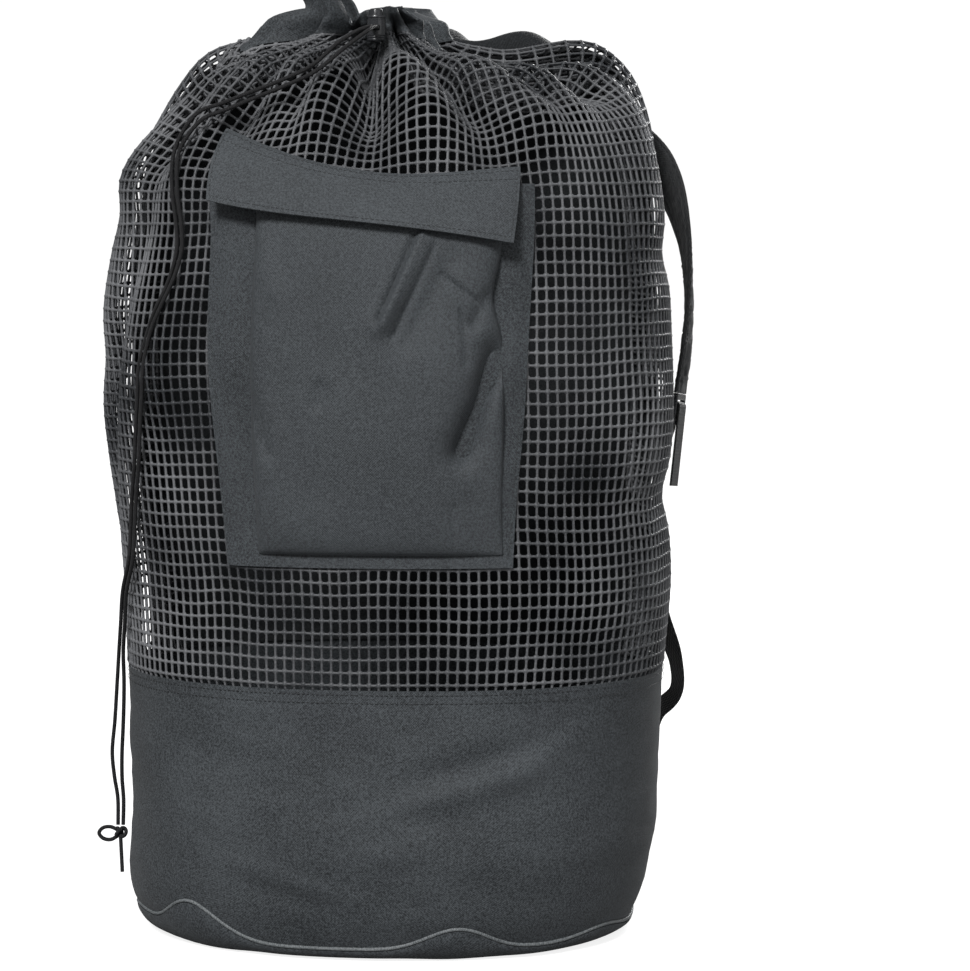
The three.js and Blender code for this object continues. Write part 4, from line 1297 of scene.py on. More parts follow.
@dataclass
class FrontPocket:
    """The patch on the net, the pocket on the patch and the flap over its mouth."""

    maker: Maker
    patch_top: float = 244
    patch_bottom: float = 212
    patch_shift: float = 3
    patch_foot: float = 292
    patch_height: float = 274
    pocket_width: float = 178
    pocket_shift: float = 9
    pocket_foot: float = 302
    pocket_height: float = 250
    pocket_depth: float = 15
    pocket_pinch: float = 7
    mouth_share: float = 0.45
    flap_width: float = 222
    flap_slant: float = 8
    flap_ear: float = 9
    flap_height: float = 56
    flap_foot: float = 523
    flap_stand: float = 19
    lines: list[Array] = field(default_factory=list)

    def __post_init__(self) -> None:
        """Work out how far each layer stands off the net."""
        sizes = self.maker.sack.sizes
        self.patch_off = sizes.lay_gap + sizes.cloth_wall / 2
        self.pocket_off = self.patch_off + sizes.cloth_wall / 2 + sizes.lay_gap

    def patch_place(self, across: Array, up: Array) -> Array:
        """Return places on the patch, across from -1 to 1 and up from 0 to 1."""
        half = (self.patch_bottom + (self.patch_top - self.patch_bottom) * up) / 2
        return self.maker.sack.on_wall(
            across * half + self.patch_shift * up, self.patch_foot + self.patch_height * up,
            self.patch_off)

    def fold_lift(self, across: Array, up: Array, folds: Sequence[tuple]) -> Array:
        """Return the sum of the folds at each place, in shares of the pocket's depth."""
        scale = np.array([self.pocket_width / 2, self.pocket_height])
        here = np.stack([across, up], axis=-1) * scale
        lift = np.zeros(here.shape[:-1])
        for start, end, breadth, push in folds:
            a, b = np.array(start) * scale, np.array(end) * scale
            share = np.clip(((here - a) @ (b - a)) / (b - a).dot(b - a), 0, 1)
            away = np.linalg.norm(here - a - share[..., None] * (b - a), axis=-1)
            lift = lift + push * bell(away / (breadth * self.pocket_width))
        return lift

    def pocket_place(self, across: Array, up: Array) -> Array:
        """Return places on the pocket's front, with its folds."""
        sides = np.sqrt(np.maximum(0, 1 - np.abs(across) ** 10))
        foot = np.sqrt(np.maximum(0, 1 - (1 - np.clip(up, 0, 1)) ** 9))
        mouth = 1 - (1 - self.mouth_share) * np.clip(up, 0, 1) ** 6
        lift = 1 + self.fold_lift(across, up, POCKET_FOLDS + FINE_FOLDS)
        pinch = self.pocket_pinch * bell((up - 0.74) / 0.09) * ease((across - 0.4) / 0.6)
        arc = self.pocket_shift + across * self.pocket_width / 2 - pinch
        height = self.pocket_foot + self.pocket_height * up
        off = self.pocket_off + self.pocket_depth * sides * foot * mouth * lift
        return self.maker.sack.on_wall(arc, height, off)

    @staticmethod
    def flap_edge(across: Array, column: int) -> Array:
        """Return the flap's foot or top at each place across, in shares of its height."""
        table = np.array(FLAP_EDGES, float)
        return np.polyval(np.polyfit(table[:, 0], table[:, column], len(table) - 1), across)

    def flap_place(self, across: Array, up: Array) -> Array:
        """Return places on the flap, across from -1 to 1 and up from 0 to 1."""
        foot, top = (
            self.flap_foot + self.flap_height * self.flap_edge(across, column) for column in (1, 2))
        off = self.patch_off + self.flap_stand * np.clip(1 - up, 0, 1) ** 0.8
        arc = across * (self.flap_width - self.flap_slant * (1 - up)) / 2
        arc = arc - self.flap_slant * (0.5 - up) - self.flap_ear * up * np.clip(-across, 0, 1)
        return self.maker.sack.on_wall(arc, foot + (top - foot) * up, off)

    def seam(self, place: Surface, points: Sequence[tuple[float, float]], lift: float) -> None:
        """Add a line of stitches through points of a surface.

        Args:
            place: The surface.
            points: Across and up of the line's corners.
            lift: How far the line stands off the cloth's middle, in millimetres.
        """
        marks = np.array(points, float)
        steps = np.linspace(0, len(marks) - 1, 60 * (len(marks) - 1) + 1)
        across, up = (np.interp(steps, range(len(marks)), marks[:, k]) for k in (0, 1))
        step = 0.004
        du = place(across + step, up) - place(across - step, up)
        dv = place(across, np.clip(up + step, 0, 1)) - place(across, np.clip(up - step, 0, 1))
        self.lines.append(place(across, up) + unit(np.cross(du, dv)) * lift)

    def build(self) -> None:
        """Build the patch, the pocket, the flap and their stitching."""
        maker = self.maker
        sizes = maker.sack.sizes
        cloth = maker.palette["coated cloth"]
        across, up = np.meshgrid(np.linspace(-1, 1, 70), np.linspace(0, 1, 72), indexing="ij")
        grid = self.patch_place(across, up)
        way = unit(np.cross(np.gradient(grid, axis=0), np.gradient(grid, axis=1)))
        loose = ease((1 - np.abs(across)) * 8) * ease(up * 12)
        lift = 3.2 * np.maximum(0, crumple(grid * [1.5, 1, 0.8], 55, 2.2) + 0.15) * loose
        grid = grid + way * (lift * (np.abs(across) > 0.68))[..., None]
        item = Workshop.sheet("patch_cloth", grid, sizes.cloth_wall * 0.8, cloth)
        maker.cloth(item, "stretched", ["net"], "cloth", "front_patch")

        fine = np.concatenate([np.linspace(-1, -0.9, 8), np.linspace(-0.88, 0.88, 90),
                               np.linspace(0.9, 1, 8)])
        tall = np.concatenate([np.linspace(0, 0.03, 7), np.linspace(0.045, 1, 100)])
        across, up = np.meshgrid(fine, tall, indexing="ij")
        grid = self.pocket_place(across, up)
        soft = crumple(grid * [1, 1, 0.8], 50, 4.4) * 0.9 * (1 - np.abs(across) ** 6) * up ** 0.3
        way = unit(np.cross(np.gradient(grid, axis=0), np.gradient(grid, axis=1)))
        grid = grid + way * soft[..., None]
        item = Workshop.sheet("pocket_cloth", grid, sizes.cloth_wall * 0.8,
                              maker.palette["pocket cloth"])
        maker.cloth(item, "stretched", ["patch_cloth"], "cloth", "front_pocket")

        across, up = np.meshgrid(np.linspace(-1, 1, 96), np.linspace(0.001, 0.999, 30),
                                 indexing="ij")
        grid = self.flap_place(across, up)
        item = Workshop.sheet("flap_cloth", grid, sizes.cloth_wall,
                              maker.palette["pocket cloth"])
        maker.cloth(item, "draped", ["patch_cloth"], "cloth", "pocket_flap")

        near = 0.97
        half = sizes.cloth_wall * 0.4 + 0.12
        self.seam(self.patch_place, [(-near, near), (-near, 1 - near), (near, 1 - near),
                                     (near, near)], half)
        self.seam(self.flap_place, [(-0.98, 0.94), (-0.98, 0.07), (0.98, 0.07), (0.98, 0.94),
                                    (-0.98, 0.94)], sizes.cloth_wall / 2 + 0.12)
        self.seam(self.flap_place, [(-0.97, 0.82), (0.97, 0.82)], sizes.cloth_wall / 2 + 0.12)
        maker.sew("pocket_stitches", self.lines)


TAIL_A = (
    (-4.65, -48, 682), (-4.65, -64, 682), (-4.65, -81, 682), (-12, -88, 679), (-26, -94, 670),
    (-44, -103, 653), (-60, -104, 645), (-78, -103, 638), (-95, -101, 632), (-111, -100, 626),
    (-127, -104, 620), (-138, -103, 608), (-145, -104, 594), (-146.5, -111, 578),
    (-144.5, -118, 557), (-141.5, -122, 539), (-140.5, -125, 521), (-144.5, -124, 505),
    (-149.5, -123, 492), (-157, -121, 478), (-164.4, -115.2, 461), (-172, -112, 436),
    (-174, -111, 410), (-176, -108, 386), (-178, -104, 362), (-182, -96, 335), (-184, -92, 312),
    (-186, -90, 290), (-194, -76, 264), (-198, -66, 238), (-202, -55, 215), (-205, -49, 190),
    (-208, -45, 160), (-211, -42, 135), (-210, -40, 116), (-208, -38, 99), (-208, -38, 77.8),
)
TAIL_B = (
    (-1.35, -48, 682), (-1.35, -64, 682), (-1.35, -81, 682), (-5, -93, 678), (-19, -100, 667),
    (-42, -107, 648), (-59, -107, 640), (-77, -106, 633), (-93, -104, 627), (-108, -104, 621),
    (-123, -108, 615), (-134, -108, 604), (-141, -109, 592), (-142, -115, 578),
    (-140, -122, 557), (-137, -126, 539), (-136, -129, 521), (-140, -128, 506),
    (-145, -127, 494), (-153, -124, 479), (-161, -120, 462), (-168, -116, 436),
    (-170, -115, 410), (-172, -112, 386), (-174, -108, 362), (-178, -100, 335), (-180, -97, 312),
    (-182, -95, 290), (-190, -81, 264), (-194, -70, 238), (-198, -58, 215), (-199, -52, 190),
    (-201, -47, 160), (-203.5, -42, 132), (-204, -40, 114), (-203.5, -38, 98), (-204, -38, 77.8),
)
LOOP_ROUTE = (
    (-207, -38, 73), (-214, -38, 76), (-220, -38, 75), (-223, -38, 71), (-220, -38, 67),
    (-214, -38, 66), (-207, -38, 70),
)
END_ROUTE = ((-206, -39, 70), (-205, -41, 56), (-204, -43, 42))


@dataclass
class Drawcord:
    """The two tails of the drawcord, their knot, and the cord lock."""

    maker: Maker
    diameter: float = 3
    knot_place: tuple[float, float, float] = (-206, -38, 72)
    knot_radius: float = 5.5
    lock_place: tuple[float, float, float] = (-3, -59, 682)
    lock_radius: float = 7
    lock_height: float = 19
    lock_wall: float = 1.6
    plunger_rise: float = 5
    plunger_travel: float = 4
    slide_gap: float = 0.3

    def cord_tube(self, name: str, route: Sequence, samples: int, sides: int) -> tuple:
        """Return a tube along a route, with the points that it follows."""
        path = catmull(np.array(route, float), np.linspace(0, 1, samples))
        path = spaced(path, samples)
        loops = Workshop.tube_loops(path, self.diameter / 2, sides)
        return Workshop.loft(name, loops, self.maker.palette["cord"]), path

    def knot(self) -> bpy.types.Object:
        """Make the knot: a strand wound on itself, its loop and its short end."""
        cord = self.maker.palette["cord"]
        angle = np.linspace(0, 2 * math.pi, 121)[:-1]
        reach = self.knot_radius - self.diameter / 2
        big, small = reach * 0.62, reach * 0.42
        wind = np.stack([
            (big + small * np.cos(3 * angle)) * np.cos(2 * angle),
            (big + small * np.cos(3 * angle)) * np.sin(2 * angle) * 0.9,
            reach * 0.75 * np.sin(3 * angle),
        ], axis=1) + np.array(self.knot_place)
        core = Workshop.loft(
            "knot_core", Workshop.tube_loops(wind, self.diameter / 2, 10, closed=True), cord, ring=True)
        loop, _ = self.cord_tube("knot_loop", LOOP_ROUTE, 40, 10)
        end, _ = self.cord_tube("knot_end", END_ROUTE, 16, 10)
        return Workshop.join("knot", [core, loop, end])

    def tails(self) -> None:
        knot = self.maker.keep(self.knot(), "cord", "cord_knot")
        for name, route, long in (("tail_a", TAIL_A, 0.0), ("tail_b", TAIL_B, 0.0)):
            item, path = self.cord_tube(name, route, 300, 12)
            self.maker.keep(item, "cord", f"drawcord_{name}")
            long = long or line_length(path) * MM
            log.info("%s is %.4f m long", name, long)

    def turned(self, profile: Sequence[tuple[float, float]], sides: int = 48) -> Array:
        """Return rings of a turned shape, from its profile of radius and height."""
        angle = np.arange(sides) * 2 * math.pi / sides
        ring = np.stack([np.cos(angle), np.sin(angle), np.zeros(sides)], axis=1)
        return np.array([
            ring * max(radius, 0.01) + [0, 0, height] for radius, height in profile
        ]) + np.array(self.lock_place)

    def slotted(self, item: bpy.types.Object, low: float, high: float) -> bpy.types.Object:
        """Cut the cord's slot through a turned piece.

        Args:
            item: The turned piece.
            low: The slot's lower edge above the lock's middle.
            high: The slot's upper edge.

        Returns:
            The piece.
        """
        half = (2 * self.diameter + 3 * self.slide_gap) / 2
        x, y, z = self.lock_place
        reach = 2 * self.lock_radius
        loops = np.array([
            [(x - half, v, z + low), (x - half, v, z + high), (x + half, v, z + high),
             (x + half, v, z + low)]
            for v in (y - reach, y + reach)
        ])
        cutter = Workshop.loft("slot", loops, self.maker.palette["moulded plastic"])
        modifier = item.modifiers.new("slot", "BOOLEAN")
        modifier.object, modifier.operation, modifier.solver = cutter, "DIFFERENCE", "EXACT"
        evaluated = item.evaluated_get(bpy.context.evaluated_depsgraph_get())
        mesh = bpy.data.meshes.new_from_object(evaluated)
        item.modifiers.remove(modifier)
        item.data = mesh
        mesh.shade_smooth()
        mesh.set_sharp_from_angle(angle=math.radians(35))
        bpy.data.objects.remove(cutter)
        return item

    def lock(self) -> None:
        """Make the cord lock's barrel and its push button."""
        plastic = self.maker.palette["moulded plastic"]
        foot, top = -self.lock_height / 2, self.lock_height / 2
        radius, bore = self.lock_radius, self.lock_radius - self.lock_wall
        ribs = [(radius - (0.35 if k % 2 else 0), foot + 1.2 + 0.8 * k) for k in range(5)]
        barrel = [(0, foot), (radius - 1.2, foot), (radius - 0.3, foot + 0.4), *ribs,
                  (radius, foot + 5), (radius, top - 3.4), (radius - 0.5, top - 3),
                  (radius - 0.5, top - 2.2), (radius, top - 1.8), (radius, top - 1),
                  (radius - 0.5, top), (bore, top), (bore, foot + self.lock_wall),
                  (0, foot + self.lock_wall)]
        item = Workshop.loft("lock_barrel", self.turned(barrel), plastic)
        slot = self.diameter / 2 + self.slide_gap
        self.maker.keep(self.slotted(item, -slot, slot), "plastic", "cord_lock_body")
        width = bore - self.slide_gap
        rest = foot + self.lock_wall + self.plunger_travel + self.slide_gap
        crown = top + self.plunger_rise
        button = [(0, rest), (width, rest), (width, crown - 1.3), (width - 0.3, crown - 0.7),
                  (width - 1, crown - 0.2), (width - 1.8, crown), (width - 2.6, crown - 0.35),
                  (0, crown - 0.5)]
        item = Workshop.loft("lock_button", self.turned(button), plastic)
        item = self.slotted(item, -slot, slot + self.plunger_travel)
        self.maker.keep(item, "plastic", "cord_lock_plunger", body="plunger")

    def build(self) -> None:
        """Build the drawcord and the lock."""
        self.tails()
        self.lock()


# Round, up, bow, twist and width
PAD_ROWS = (
    (0.073, 0.921, 0.03, 0, 1), (0.104, 0.913, 0.12, 0, 1), (0.138, 0.898, 0.3, 0, 1),
    (0.168, 0.873, 0.5, 0, 1), (0.19, 0.838, 0.7, 5, 1), (0.2, 0.79, 0.85, 10, 1),
    (0.202, 0.735, 0.95, 18, 1), (0.202, 0.665, 0.85, 28, 0.95), (0.202, 0.602, 0.55, 34, 0.75),
)
WEB_ROWS = (
    (0.192, 0.48, 0.3, 16), (0.182, 0.41, 0.25, 0), (0.188, 0.345, 0.45, 0),
    (0.2, 0.29, 0.85, 0), (0.202, 0.255, 0.85, 0),
)


@dataclass
class Padding:
    """Cloth blown out from within, held where it is sewn."""

    frames: int = 20
    pressure: float = 4.0
    slack: float = 0.05
    most: float = 3.5

    def puff(self, item: bpy.types.Object, held: Array) -> None:
        """Blow a closed piece out as cloth and keep the shape it takes.

        Args:
            item: The piece.
            held: How firmly each vertex is held, from 0 to 1.
        """
        scene = bpy.context.scene
        group = item.vertex_groups.new(name="held")
        for k in np.flatnonzero(held > 0):
            group.add([int(k)], float(held[k]), "REPLACE")
        cloth = item.modifiers.new("cloth", "CLOTH")
        cloth.point_cache.frame_start, cloth.point_cache.frame_end = 1, self.frames
        cloth.collision_settings.use_collision = False
        settings = cloth.settings
        settings.quality = 6
        settings.mass = 0.2
        settings.bending_stiffness = 0.3
        settings.use_pressure = True
        settings.uniform_pressure_force = self.pressure
        settings.shrink_min = -self.slack
        settings.vertex_group_mass = group.name
        settings.effector_weights.gravity = 0
        for frame in range(1, self.frames + 1):
            scene.frame_set(frame)
        old, new = np.empty(len(held) * 3), np.empty(len(held) * 3)
        item.data.vertices.foreach_get("co", old)
        shape = item.evaluated_get(bpy.context.evaluated_depsgraph_get()).data
        shape.vertices.foreach_get("co", new)
        item.modifiers.remove(cloth)
        item.vertex_groups.remove(group)
        scene.frame_set(1)
        step = (new - old).reshape(-1, 3) / MM
        far = np.maximum(np.linalg.norm(step, axis=1), 1e-6)[:, None]
        logging.info("%s puffed out by up to %.1f mm", item.name, far.max())
        step *= self.most * (1 - np.exp(-far / self.most)) / far
        item.data.vertices.foreach_set("co", old + step.ravel() * MM)
        item.data.update()


@dataclass
class StrapRow:
    """A place that a strap passes, the way its face looks, and its width."""

    place: Array
    face: Array
    width: float


@dataclass
class Straps:
    """The yoke and both shoulder straps."""

    FACE_POINTS = 17
    CHANNEL = 0.594

    maker: Maker
    pad_width: float = 46
    pad_thickness: float = 5
    web_width: float = 25
    web_thickness: float = 1.6
    buckle_width: float = 33
    buckle_thickness: float = 4
    bar_height: float = 5
    slot_height: float = 5
    tail_length: float = 62
    tail_lean: float = 2
    yoke_width: float = 112
    yoke_height: float = 50
    yoke_drop: float = 78
    yoke_thickness: float = 3
    strap_bow: float = 22
    anchor_drop: float = 59
    anchor_round: float = 0.2
    anchor_lead: float = 12
    anchor_lap: float = 16
    web_lead: float = 4

    def __post_init__(self) -> None:
        """Work out the sizes that follow from others."""
        sizes = self.maker.sack.sizes
        self.yoke_bottom = sizes.neck_height - self.yoke_drop
        self.buckle_height = 3 * self.bar_height + 2 * self.slot_height
        self.web_off = self.buckle_thickness / 2 + sizes.seam_gap + self.web_thickness / 2

    def bowed(
        self, sign: float, spread: float, round_it: float, up: float, bow: float, twist: float,
        width: float, thickness: float,
    ) -> StrapRow:
        """Return a strap's row that stands off the wall.

        Args:
            sign: 1 for the right strap and -1 for the left.
            spread: How far round the strap runs, as a share.
            round_it: Share of the girth from the middle of the back.
            up: Share of the neck's height.
            bow: Share of the strap's bow.
            twist: Turn about the strap's run in degrees.
            width: The strap's width there.
            thickness: The strap's thickness.

        Returns:
            The row.
        """
        sack = self.maker.sack
        arc = sack.girth * (0.5 - sign * spread * round_it)
        height = sack.sizes.neck_height * up
        off = sack.sizes.lay_gap + thickness / 2 + self.strap_bow * bow
        turn = np.array(arc / sack.girth)
        face = sack.normal(sack.plain_wall, turn, sack.row_at(turn, np.array(height)))
        spin = Matrix.Rotation(-math.radians(sign * twist), 3, "Z")
        return StrapRow(sack.on_wall(arc, height, off), np.array(spin @ Vector(face)), width)

    @staticmethod
    def smooth(rows: Sequence[StrapRow], steps: int) -> list[StrapRow]:
        """Return rows along a smooth curve through rows."""
        shares = np.linspace(0, 1, steps + 1)
        places = catmull(np.array([row.place for row in rows]), shares)
        at = shares * (len(rows) - 1)
        faces = np.array([row.face for row in rows])
        face = np.stack([np.interp(at, range(len(rows)), faces[:, k]) for k in range(3)], axis=1)
        width = np.interp(at, range(len(rows)), [row.width for row in rows])
        return [StrapRow(p, f, w) for p, f, w in zip(places, face, width)]

    @staticmethod
    def strip(rows: Sequence[StrapRow], profile: Callable[[float], Array]) -> Array:
        """Return loops of a strap's cross-section along its rows.

        Args:
            rows: The strap's rows.
            profile: Gives the cross-section's points, sideways and outwards, for a width.

        Returns:
            The loops.
        """
        places = np.array([row.place for row in rows])
        loops = []
        for i, row in enumerate(rows):
            along = unit(places[min(i + 1, len(rows) - 1)] - places[max(i - 1, 0)])
            out = unit(row.face - along * row.face.dot(along))
            side = np.cross(along, out)
            loops.append([row.place + side * x + out * y for x, y in profile(row.width)])
        return np.array(loops)[:, ::-1]

    def pad_profile(self, width: float) -> Array:
        """Return the pad's cross-section: two crowned faces between bound edges.

        Args:
            width: The pad's width.

        Returns:
            Points sideways and outwards, from the right edge over the outer face.
        """
        across = np.linspace(0.95, -0.95, self.FACE_POINTS)
        crown = (0.3 + 0.7 * np.cos(across * math.pi / 2) ** 0.4) * self.pad_thickness / 2
        crown = crown * (1 - 0.4 * bell((np.abs(across) - self.CHANNEL) / 0.07))
        outer = np.stack([across, crown], axis=1)
        inner = outer[::-1] * [1, -1]
        return np.concatenate([[(1, 0)], outer, [(-1, 0)], inner]) * [width / 2, 1]

    def pad_hold(self, rows: int) -> tuple[Array, list[int]]:
        """Work out where a pad's cloth is held.

        Args:
            rows: The pad's rows.

        Returns:
            How firmly each vertex of the loft is held, and the outer face's seam points.
        """
        across = self.pad_profile(2.0)[::-1]
        seam = np.abs(np.abs(across[:, 0]) - self.CHANNEL) < 0.04
        firm = np.where(across[:, 1] < 0, 0.5, 0.0)
        firm = np.where(seam | (np.abs(across[:, 0]) > 0.99), 1.0, firm)
        held = np.repeat(firm[None], rows, axis=0)
        held[:3] = held[-3:] = 1
        return held.ravel(), [int(k) for k in np.flatnonzero(seam & (across[:, 1] > 0))]

    def web_profile(self, width: float) -> Array:
        """Return the webbing's cross-section, with rounded edges."""
        half, thick = width / 2, self.web_thickness / 2
        return np.array([
            (-half, -0.3 * thick), (-half + 0.4, -thick), (-half / 2, -thick), (0, -thick),
            (half / 2, -thick), (half - 0.4, -thick), (half, -0.3 * thick), (half, 0.3 * thick),
            (half - 0.4, thick), (half / 2, thick), (0, thick), (-half / 2, thick),
            (-half + 0.4, thick), (-half, 0.3 * thick),
        ])

    def buckle(self, name: str, place: Array, axes: Array) -> bpy.types.Object:
        """Make a ladder buckle: a moulded plate with two windows and rounded edges.

        Args:
            name: The piece's name.
            place: The middle of its upper edge.
            axes: Its sideways, downward and outward directions, one in each row.

        Returns:
            The piece.
        """
        bevel = 0.8
        curve = bpy.data.curves.new(name, "CURVE")
        curve.dimensions, curve.fill_mode = "2D", "BOTH"
        curve.bevel_depth, curve.bevel_resolution = bevel * MM, 3
        curve.offset = -bevel * MM
        curve.extrude = (self.buckle_thickness / 2 - bevel) * MM
        inner = self.web_width / 2 + 2 * self.maker.sack.sizes.seam_gap
        frames = [(self.buckle_width / 2, 0, self.buckle_height, 3.0)]
        for start in (self.bar_height, 2 * self.bar_height + self.slot_height):
            frames.append((inner, start, start + self.slot_height, 1.0))
        for half, low, high, corner in frames:
            outline = []
            for x, y, turn in ((half, high, 0), (-half, high, 1), (-half, low, 2), (half, low, 3)):
                middle = (x - math.copysign(corner, x), y - corner if turn < 2 else y + corner)
                for step in range(6):
                    angle = (turn + step / 5) * math.pi / 2
                    outline.append((middle[0] + corner * math.cos(angle),
                                    middle[1] + corner * math.sin(angle)))
            spline = curve.splines.new("POLY")
            spline.points.add(len(outline) - 1)
            for point, (x, y) in zip(spline.points, outline):
                point.co = (x * MM, y * MM, 0, 1)
            spline.use_cyclic_u = True
        flat = bpy.data.objects.new(name, curve)
        bpy.context.scene.collection.objects.link(flat)
        mesh = bpy.data.meshes.new_from_object(
            flat.evaluated_get(bpy.context.evaluated_depsgraph_get()))
        bpy.data.objects.remove(flat)
        frame = Matrix.Identity(4)
        for k in range(3):
            frame.col[k][:3] = axes[k]
        frame.translation = Vector(place * MM)
        mesh.transform(frame)
        mesh.materials.clear()
        mesh.materials.append(self.maker.palette["moulded plastic"])
        mesh.shade_smooth()
        mesh.set_sharp_from_angle(angle=math.radians(40))
        item = bpy.data.objects.new(name, mesh)
        bpy.context.scene.collection.objects.link(item)
        return item

    def yoke(self) -> None:
        """Make the sewn strip that both straps start from."""
        sack = self.maker.sack
        across, up = np.meshgrid(np.linspace(-1, 1, 60), np.linspace(0, 1, 26), indexing="ij")
        thick = self.yoke_thickness

        def place(a: Array, b: Array) -> Array:
            """Return places on the yoke's middle."""
            return sack.on_wall(
                sack.girth / 2 - a * self.yoke_width / 2, self.yoke_bottom + self.yoke_height * b,
                sack.sizes.lay_gap + thick / 2)

        grid = place(across, up)[::-1]
        item = Workshop.sheet("yoke_cloth", grid, thick, self.maker.palette["coated cloth"])
        self.maker.cloth(item, "stretched", ["back_cloth"], "cloth", "strap_yoke")
        lines = []
        for inset in (0.95, 0.8):
            tall = (1 - inset) * self.yoke_width / self.yoke_height / 2
            box = np.array([(-inset, tall), (inset, tall), (inset, 1 - tall), (-inset, 1 - tall),
                            (-inset, tall)])
            steps = np.linspace(0, 4, 161)
            a, b = (np.interp(steps, range(5), box[:, k]) for k in (0, 1))
            here = place(a, b)
            lines.append(here + unit(here * [1, 1, 0]) * (thick / 2 + 0.15))
        self.maker.sew("yoke_stitches", lines)

    def strap(self, name: str, sign: float, spread: float) -> None:
        """Make one strap: its pad, its buckle and its webbing.

        Args:
            name: The side's name.
            sign: 1 for the right strap and -1 for the left.
            spread: How far round the strap runs, as a share.
        """
        maker, sizes = self.maker, self.maker.sack.sizes
        sack = maker.sack
        start = (self.yoke_width / 2 + 2 * sizes.lay_gap) / (sack.girth * spread)
        seat = (start, (self.yoke_bottom + self.yoke_height / 2) / sizes.neck_height, 0, 0, 1)
        rows = [
            self.bowed(sign, spread, round_it, up, bow, twist, self.pad_width * width,
                       self.pad_thickness)
            for round_it, up, bow, twist, width in (seat, *PAD_ROWS)
        ]
        pad = self.smooth(rows, 20)
        fine = self.smooth(rows, 130)
        loops = self.strip(fine, self.pad_profile)
        item = Workshop.loft(f"pad_{name}", loops, maker.palette["pad cloth"])
        held, seams = self.pad_hold(len(loops))
        spare = len(item.data.vertices) - len(held)
        Padding().puff(item, np.concatenate([held, np.ones(spare)]))
        maker.keep(item, "webbing", f"strap_pad_{name}")
        ends = [k for k, (x, _) in enumerate(self.pad_profile(1.0)) if abs(abs(x) - 0.5) < 1e-6]
        trims = []
        for k, edge in enumerate(ends):
            line = loops[:, ::-1][:, edge]
            tube = Workshop.tube_loops(line, 1.5, 8)
            trims.append(Workshop.loft(f"bind_{name}_{k}", tube, maker.palette["webbing"]))
        maker.keep(Workshop.join(f"pad_binding_{name}", trims), "webbing")
        outs = np.array([row.face for row in fine])[2:-2] * 0.35
        maker.sew(f"pad_stitches_{name}", [loops[2:-2, k] + outs for k in seams])

        before, end = pad[-2:]
        down = unit(end.place - before.place)
        out = unit(end.face - down * end.face.dot(down))
        across = np.cross(down, out)
        top = end.place + down * sizes.seam_gap
        item = self.buckle(f"buckle_{name}", top, np.array([across, down, np.cross(across, down)]))
        maker.keep(item, "plastic", f"ladder_lock_{name}")

        bar = sizes.seam_gap + self.bar_height + self.slot_height

        def spot(along: float, off: float, turned: float = 0.0) -> StrapRow:
            """Return a row beside the buckle."""
            face = np.array(Matrix.Rotation(turned, 3, Vector(across)) @ Vector(out))
            return StrapRow(end.place + down * along + out * off, face, self.web_width)

        bend = [spot(bar - self.web_off * math.sin(a), self.web_off * math.cos(a), a)
                for a in np.linspace(0, math.pi, 17)]
        tail = [spot(bar + along, self.web_off + self.tail_lean * along / self.tail_length)
                for along in np.linspace(self.tail_length, 2, 14)]

        def anchor(height: float, off: float) -> StrapRow:
            """Return a row where the webbing is sewn to the band."""
            arc = sack.girth * (0.5 - sign * spread * self.anchor_round)
            turn = np.array(arc / sack.girth)
            face = sack.normal(sack.plain_wall, turn, np.array(BAND_TOP - 1.0))
            place = sack.on_wall(arc, height, off + self.web_thickness / 2)
            return StrapRow(place, face, self.web_width)

        foot = sizes.band_height - self.anchor_drop
        lower = self.smooth([
            spot(sizes.seam_gap + self.buckle_height + self.web_lead, -self.web_off),
            *(self.bowed(sign, spread, round_it, up, bow, twist, self.web_width, self.web_thickness)
              for round_it, up, bow, twist in WEB_ROWS),
            anchor(foot + self.anchor_lead, 9 * sizes.lay_gap),
            anchor(foot, 2 * sizes.lay_gap),
            anchor(foot - self.anchor_lap, sizes.lay_gap),
        ], 90)
        lower = [StrapRow(row.place, -row.face, row.width) for row in lower]
        loops = self.strip([*tail, *bend, *lower], self.web_profile)
        item = Workshop.loft(f"web_{name}", loops, maker.palette["webbing"])
        maker.keep(item, "webbing", f"strap_web_{name}")

    def build(self) -> None:
        """Build the yoke and both straps."""
        self.yoke()
        self.strap("right", 1, 1)
        self.strap("left", -1, 0.86)


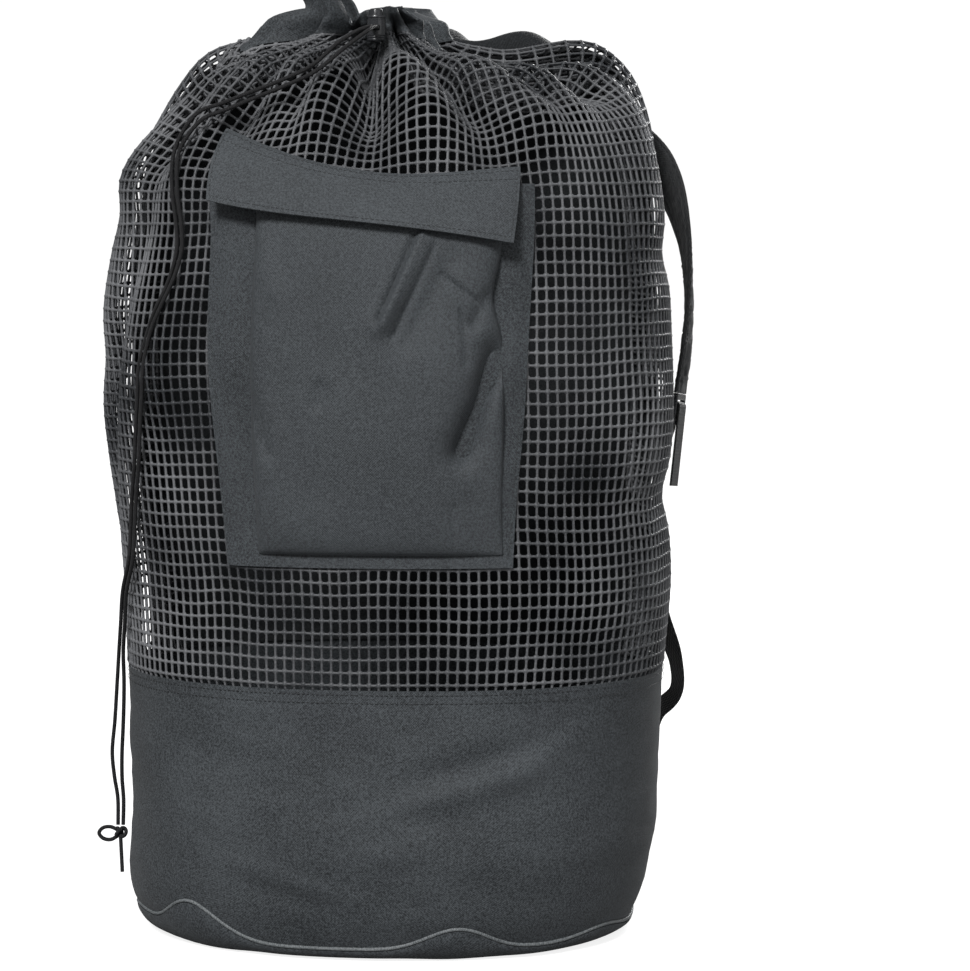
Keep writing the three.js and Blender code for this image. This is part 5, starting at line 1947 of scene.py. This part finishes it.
@dataclass
class Studio:
    """The floor, the lights and the camera."""

    azimuth: float = 7.0
    distance: float = 2.2
    eye_height: float = 0.54
    aim_right: float = 0.072
    aim_height: float = 0.338
    span: float = 0.747
    sensor: float = 36.0

    def camera(self) -> None:
        """Set up the camera at the photograph's angle."""
        angle = math.radians(self.azimuth)
        right = Vector((math.cos(angle), math.sin(angle), 0))
        back = Vector((math.sin(angle), -math.cos(angle), 0))
        data = bpy.data.cameras.new("camera")
        data.sensor_width = self.sensor
        place = back * self.distance + Vector((0, 0, self.eye_height))
        aim = right * self.aim_right + Vector((0, 0, self.aim_height))
        data.lens = self.sensor * (aim - place).length / self.span
        item = bpy.data.objects.new("camera", data)
        item.location = place
        item.rotation_mode = "QUATERNION"
        item.rotation_quaternion = (aim - place).to_track_quat("-Z", "Y")
        bpy.context.scene.collection.objects.link(item)
        bpy.context.scene.camera = item

    @staticmethod
    def lamp(
        name: str, kind: str, place: Sequence[float], strength: float, spread: float
    ) -> None:
        """Add a soft light that looks at the bag.

        Args:
            name: The light's name.
            kind: AREA or SUN.
            place: Where it stands, or the side that it shines from.
            strength: Its power, or its strength.
            spread: An area light's side in metres, or the width of the sky that a sun fills.
        """
        data = bpy.data.lights.new(name, kind)
        data.energy = strength
        if kind == "SUN":
            data.angle = spread
        else:
            data.size = spread
        item = bpy.data.objects.new(name, data)
        item.location = place
        item.rotation_mode = "QUATERNION"
        item.rotation_quaternion = (Vector((0, 0, 0.4)) - Vector(place)).to_track_quat("-Z", "Y")
        bpy.context.scene.collection.objects.link(item)

    @staticmethod
    def surround() -> None:
        """Set up a white surround that lights the bag less than it shows."""
        world = bpy.data.worlds.new("surround")
        world.use_nodes = True
        graph = Graph(world.node_tree)
        shade = world.node_tree.nodes["Background"]
        seen = graph.add("ShaderNodeLightPath")
        level = graph.add("ShaderNodeMapRange")
        graph.feed(level, Value=seen.outputs["Is Camera Ray"], To_Min=0.33, To_Max=1.02)
        graph.feed(shade, Color=(1.0, 1.0, 1.0, 1.0), Strength=level.outputs[0])
        bpy.context.scene.world = world
        bpy.context.scene.view_settings.view_transform = "Standard"

    def floor(self) -> None:
        """Set up the pale floor."""
        material = bpy.data.materials.new("floor")
        material.use_nodes = True
        paper = Graph(material.node_tree)
        seen = paper.add("ShaderNodeLightPath")
        glow = paper.math("MULTIPLY", seen.outputs["Is Camera Ray"], 0.84)
        paper.feed(material.node_tree.nodes["Principled BSDF"], Base_Color=(0.25, 0.25, 0.25, 1.0),
                   Roughness=0.9, Emission_Color=(1.0, 1.0, 1.0, 1.0), Emission_Strength=glow)
        half = 8000
        item = Workshop.mesh_object(
            "floor", np.array([(-half, -half, 0), (half, -half, 0), (half, half, 0),
                               (-half, half, 0)], float), [[0, 1, 2, 3]], material)

    def room(self) -> None:
        """Set up the floor, the surround and the soft lights."""
        self.surround()
        self.floor()
        self.lamp("key", "SUN", (-0.5, -2.0, 2.1), 3.75, math.radians(15))
        self.lamp("fill", "AREA", (1.6, -1.4, 1.1), 6, 1.4)
        self.lamp("rear", "AREA", (0.9, 2.1, 1.3), 60, 1.2)

    def build(self) -> None:
        """Build the studio."""
        self.camera()
        self.room()


def main() -> None:
    """Build the bag around its frame."""
    logging.basicConfig(level=logging.INFO, format="%(message)s")
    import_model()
    maker = Maker(
        Sack(SackSizes()), Palette(), StrandTree().tree, JointTree().tree, StitchTree().tree)
    Studio().build()
    Drawcord(maker).build()
    Foot(maker).build()
    NetWall(maker).build()
    BackAndHem(maker).build()
    FrontPocket(maker).build()
    Straps(maker).build()


if __name__ == "__main__":
    main()
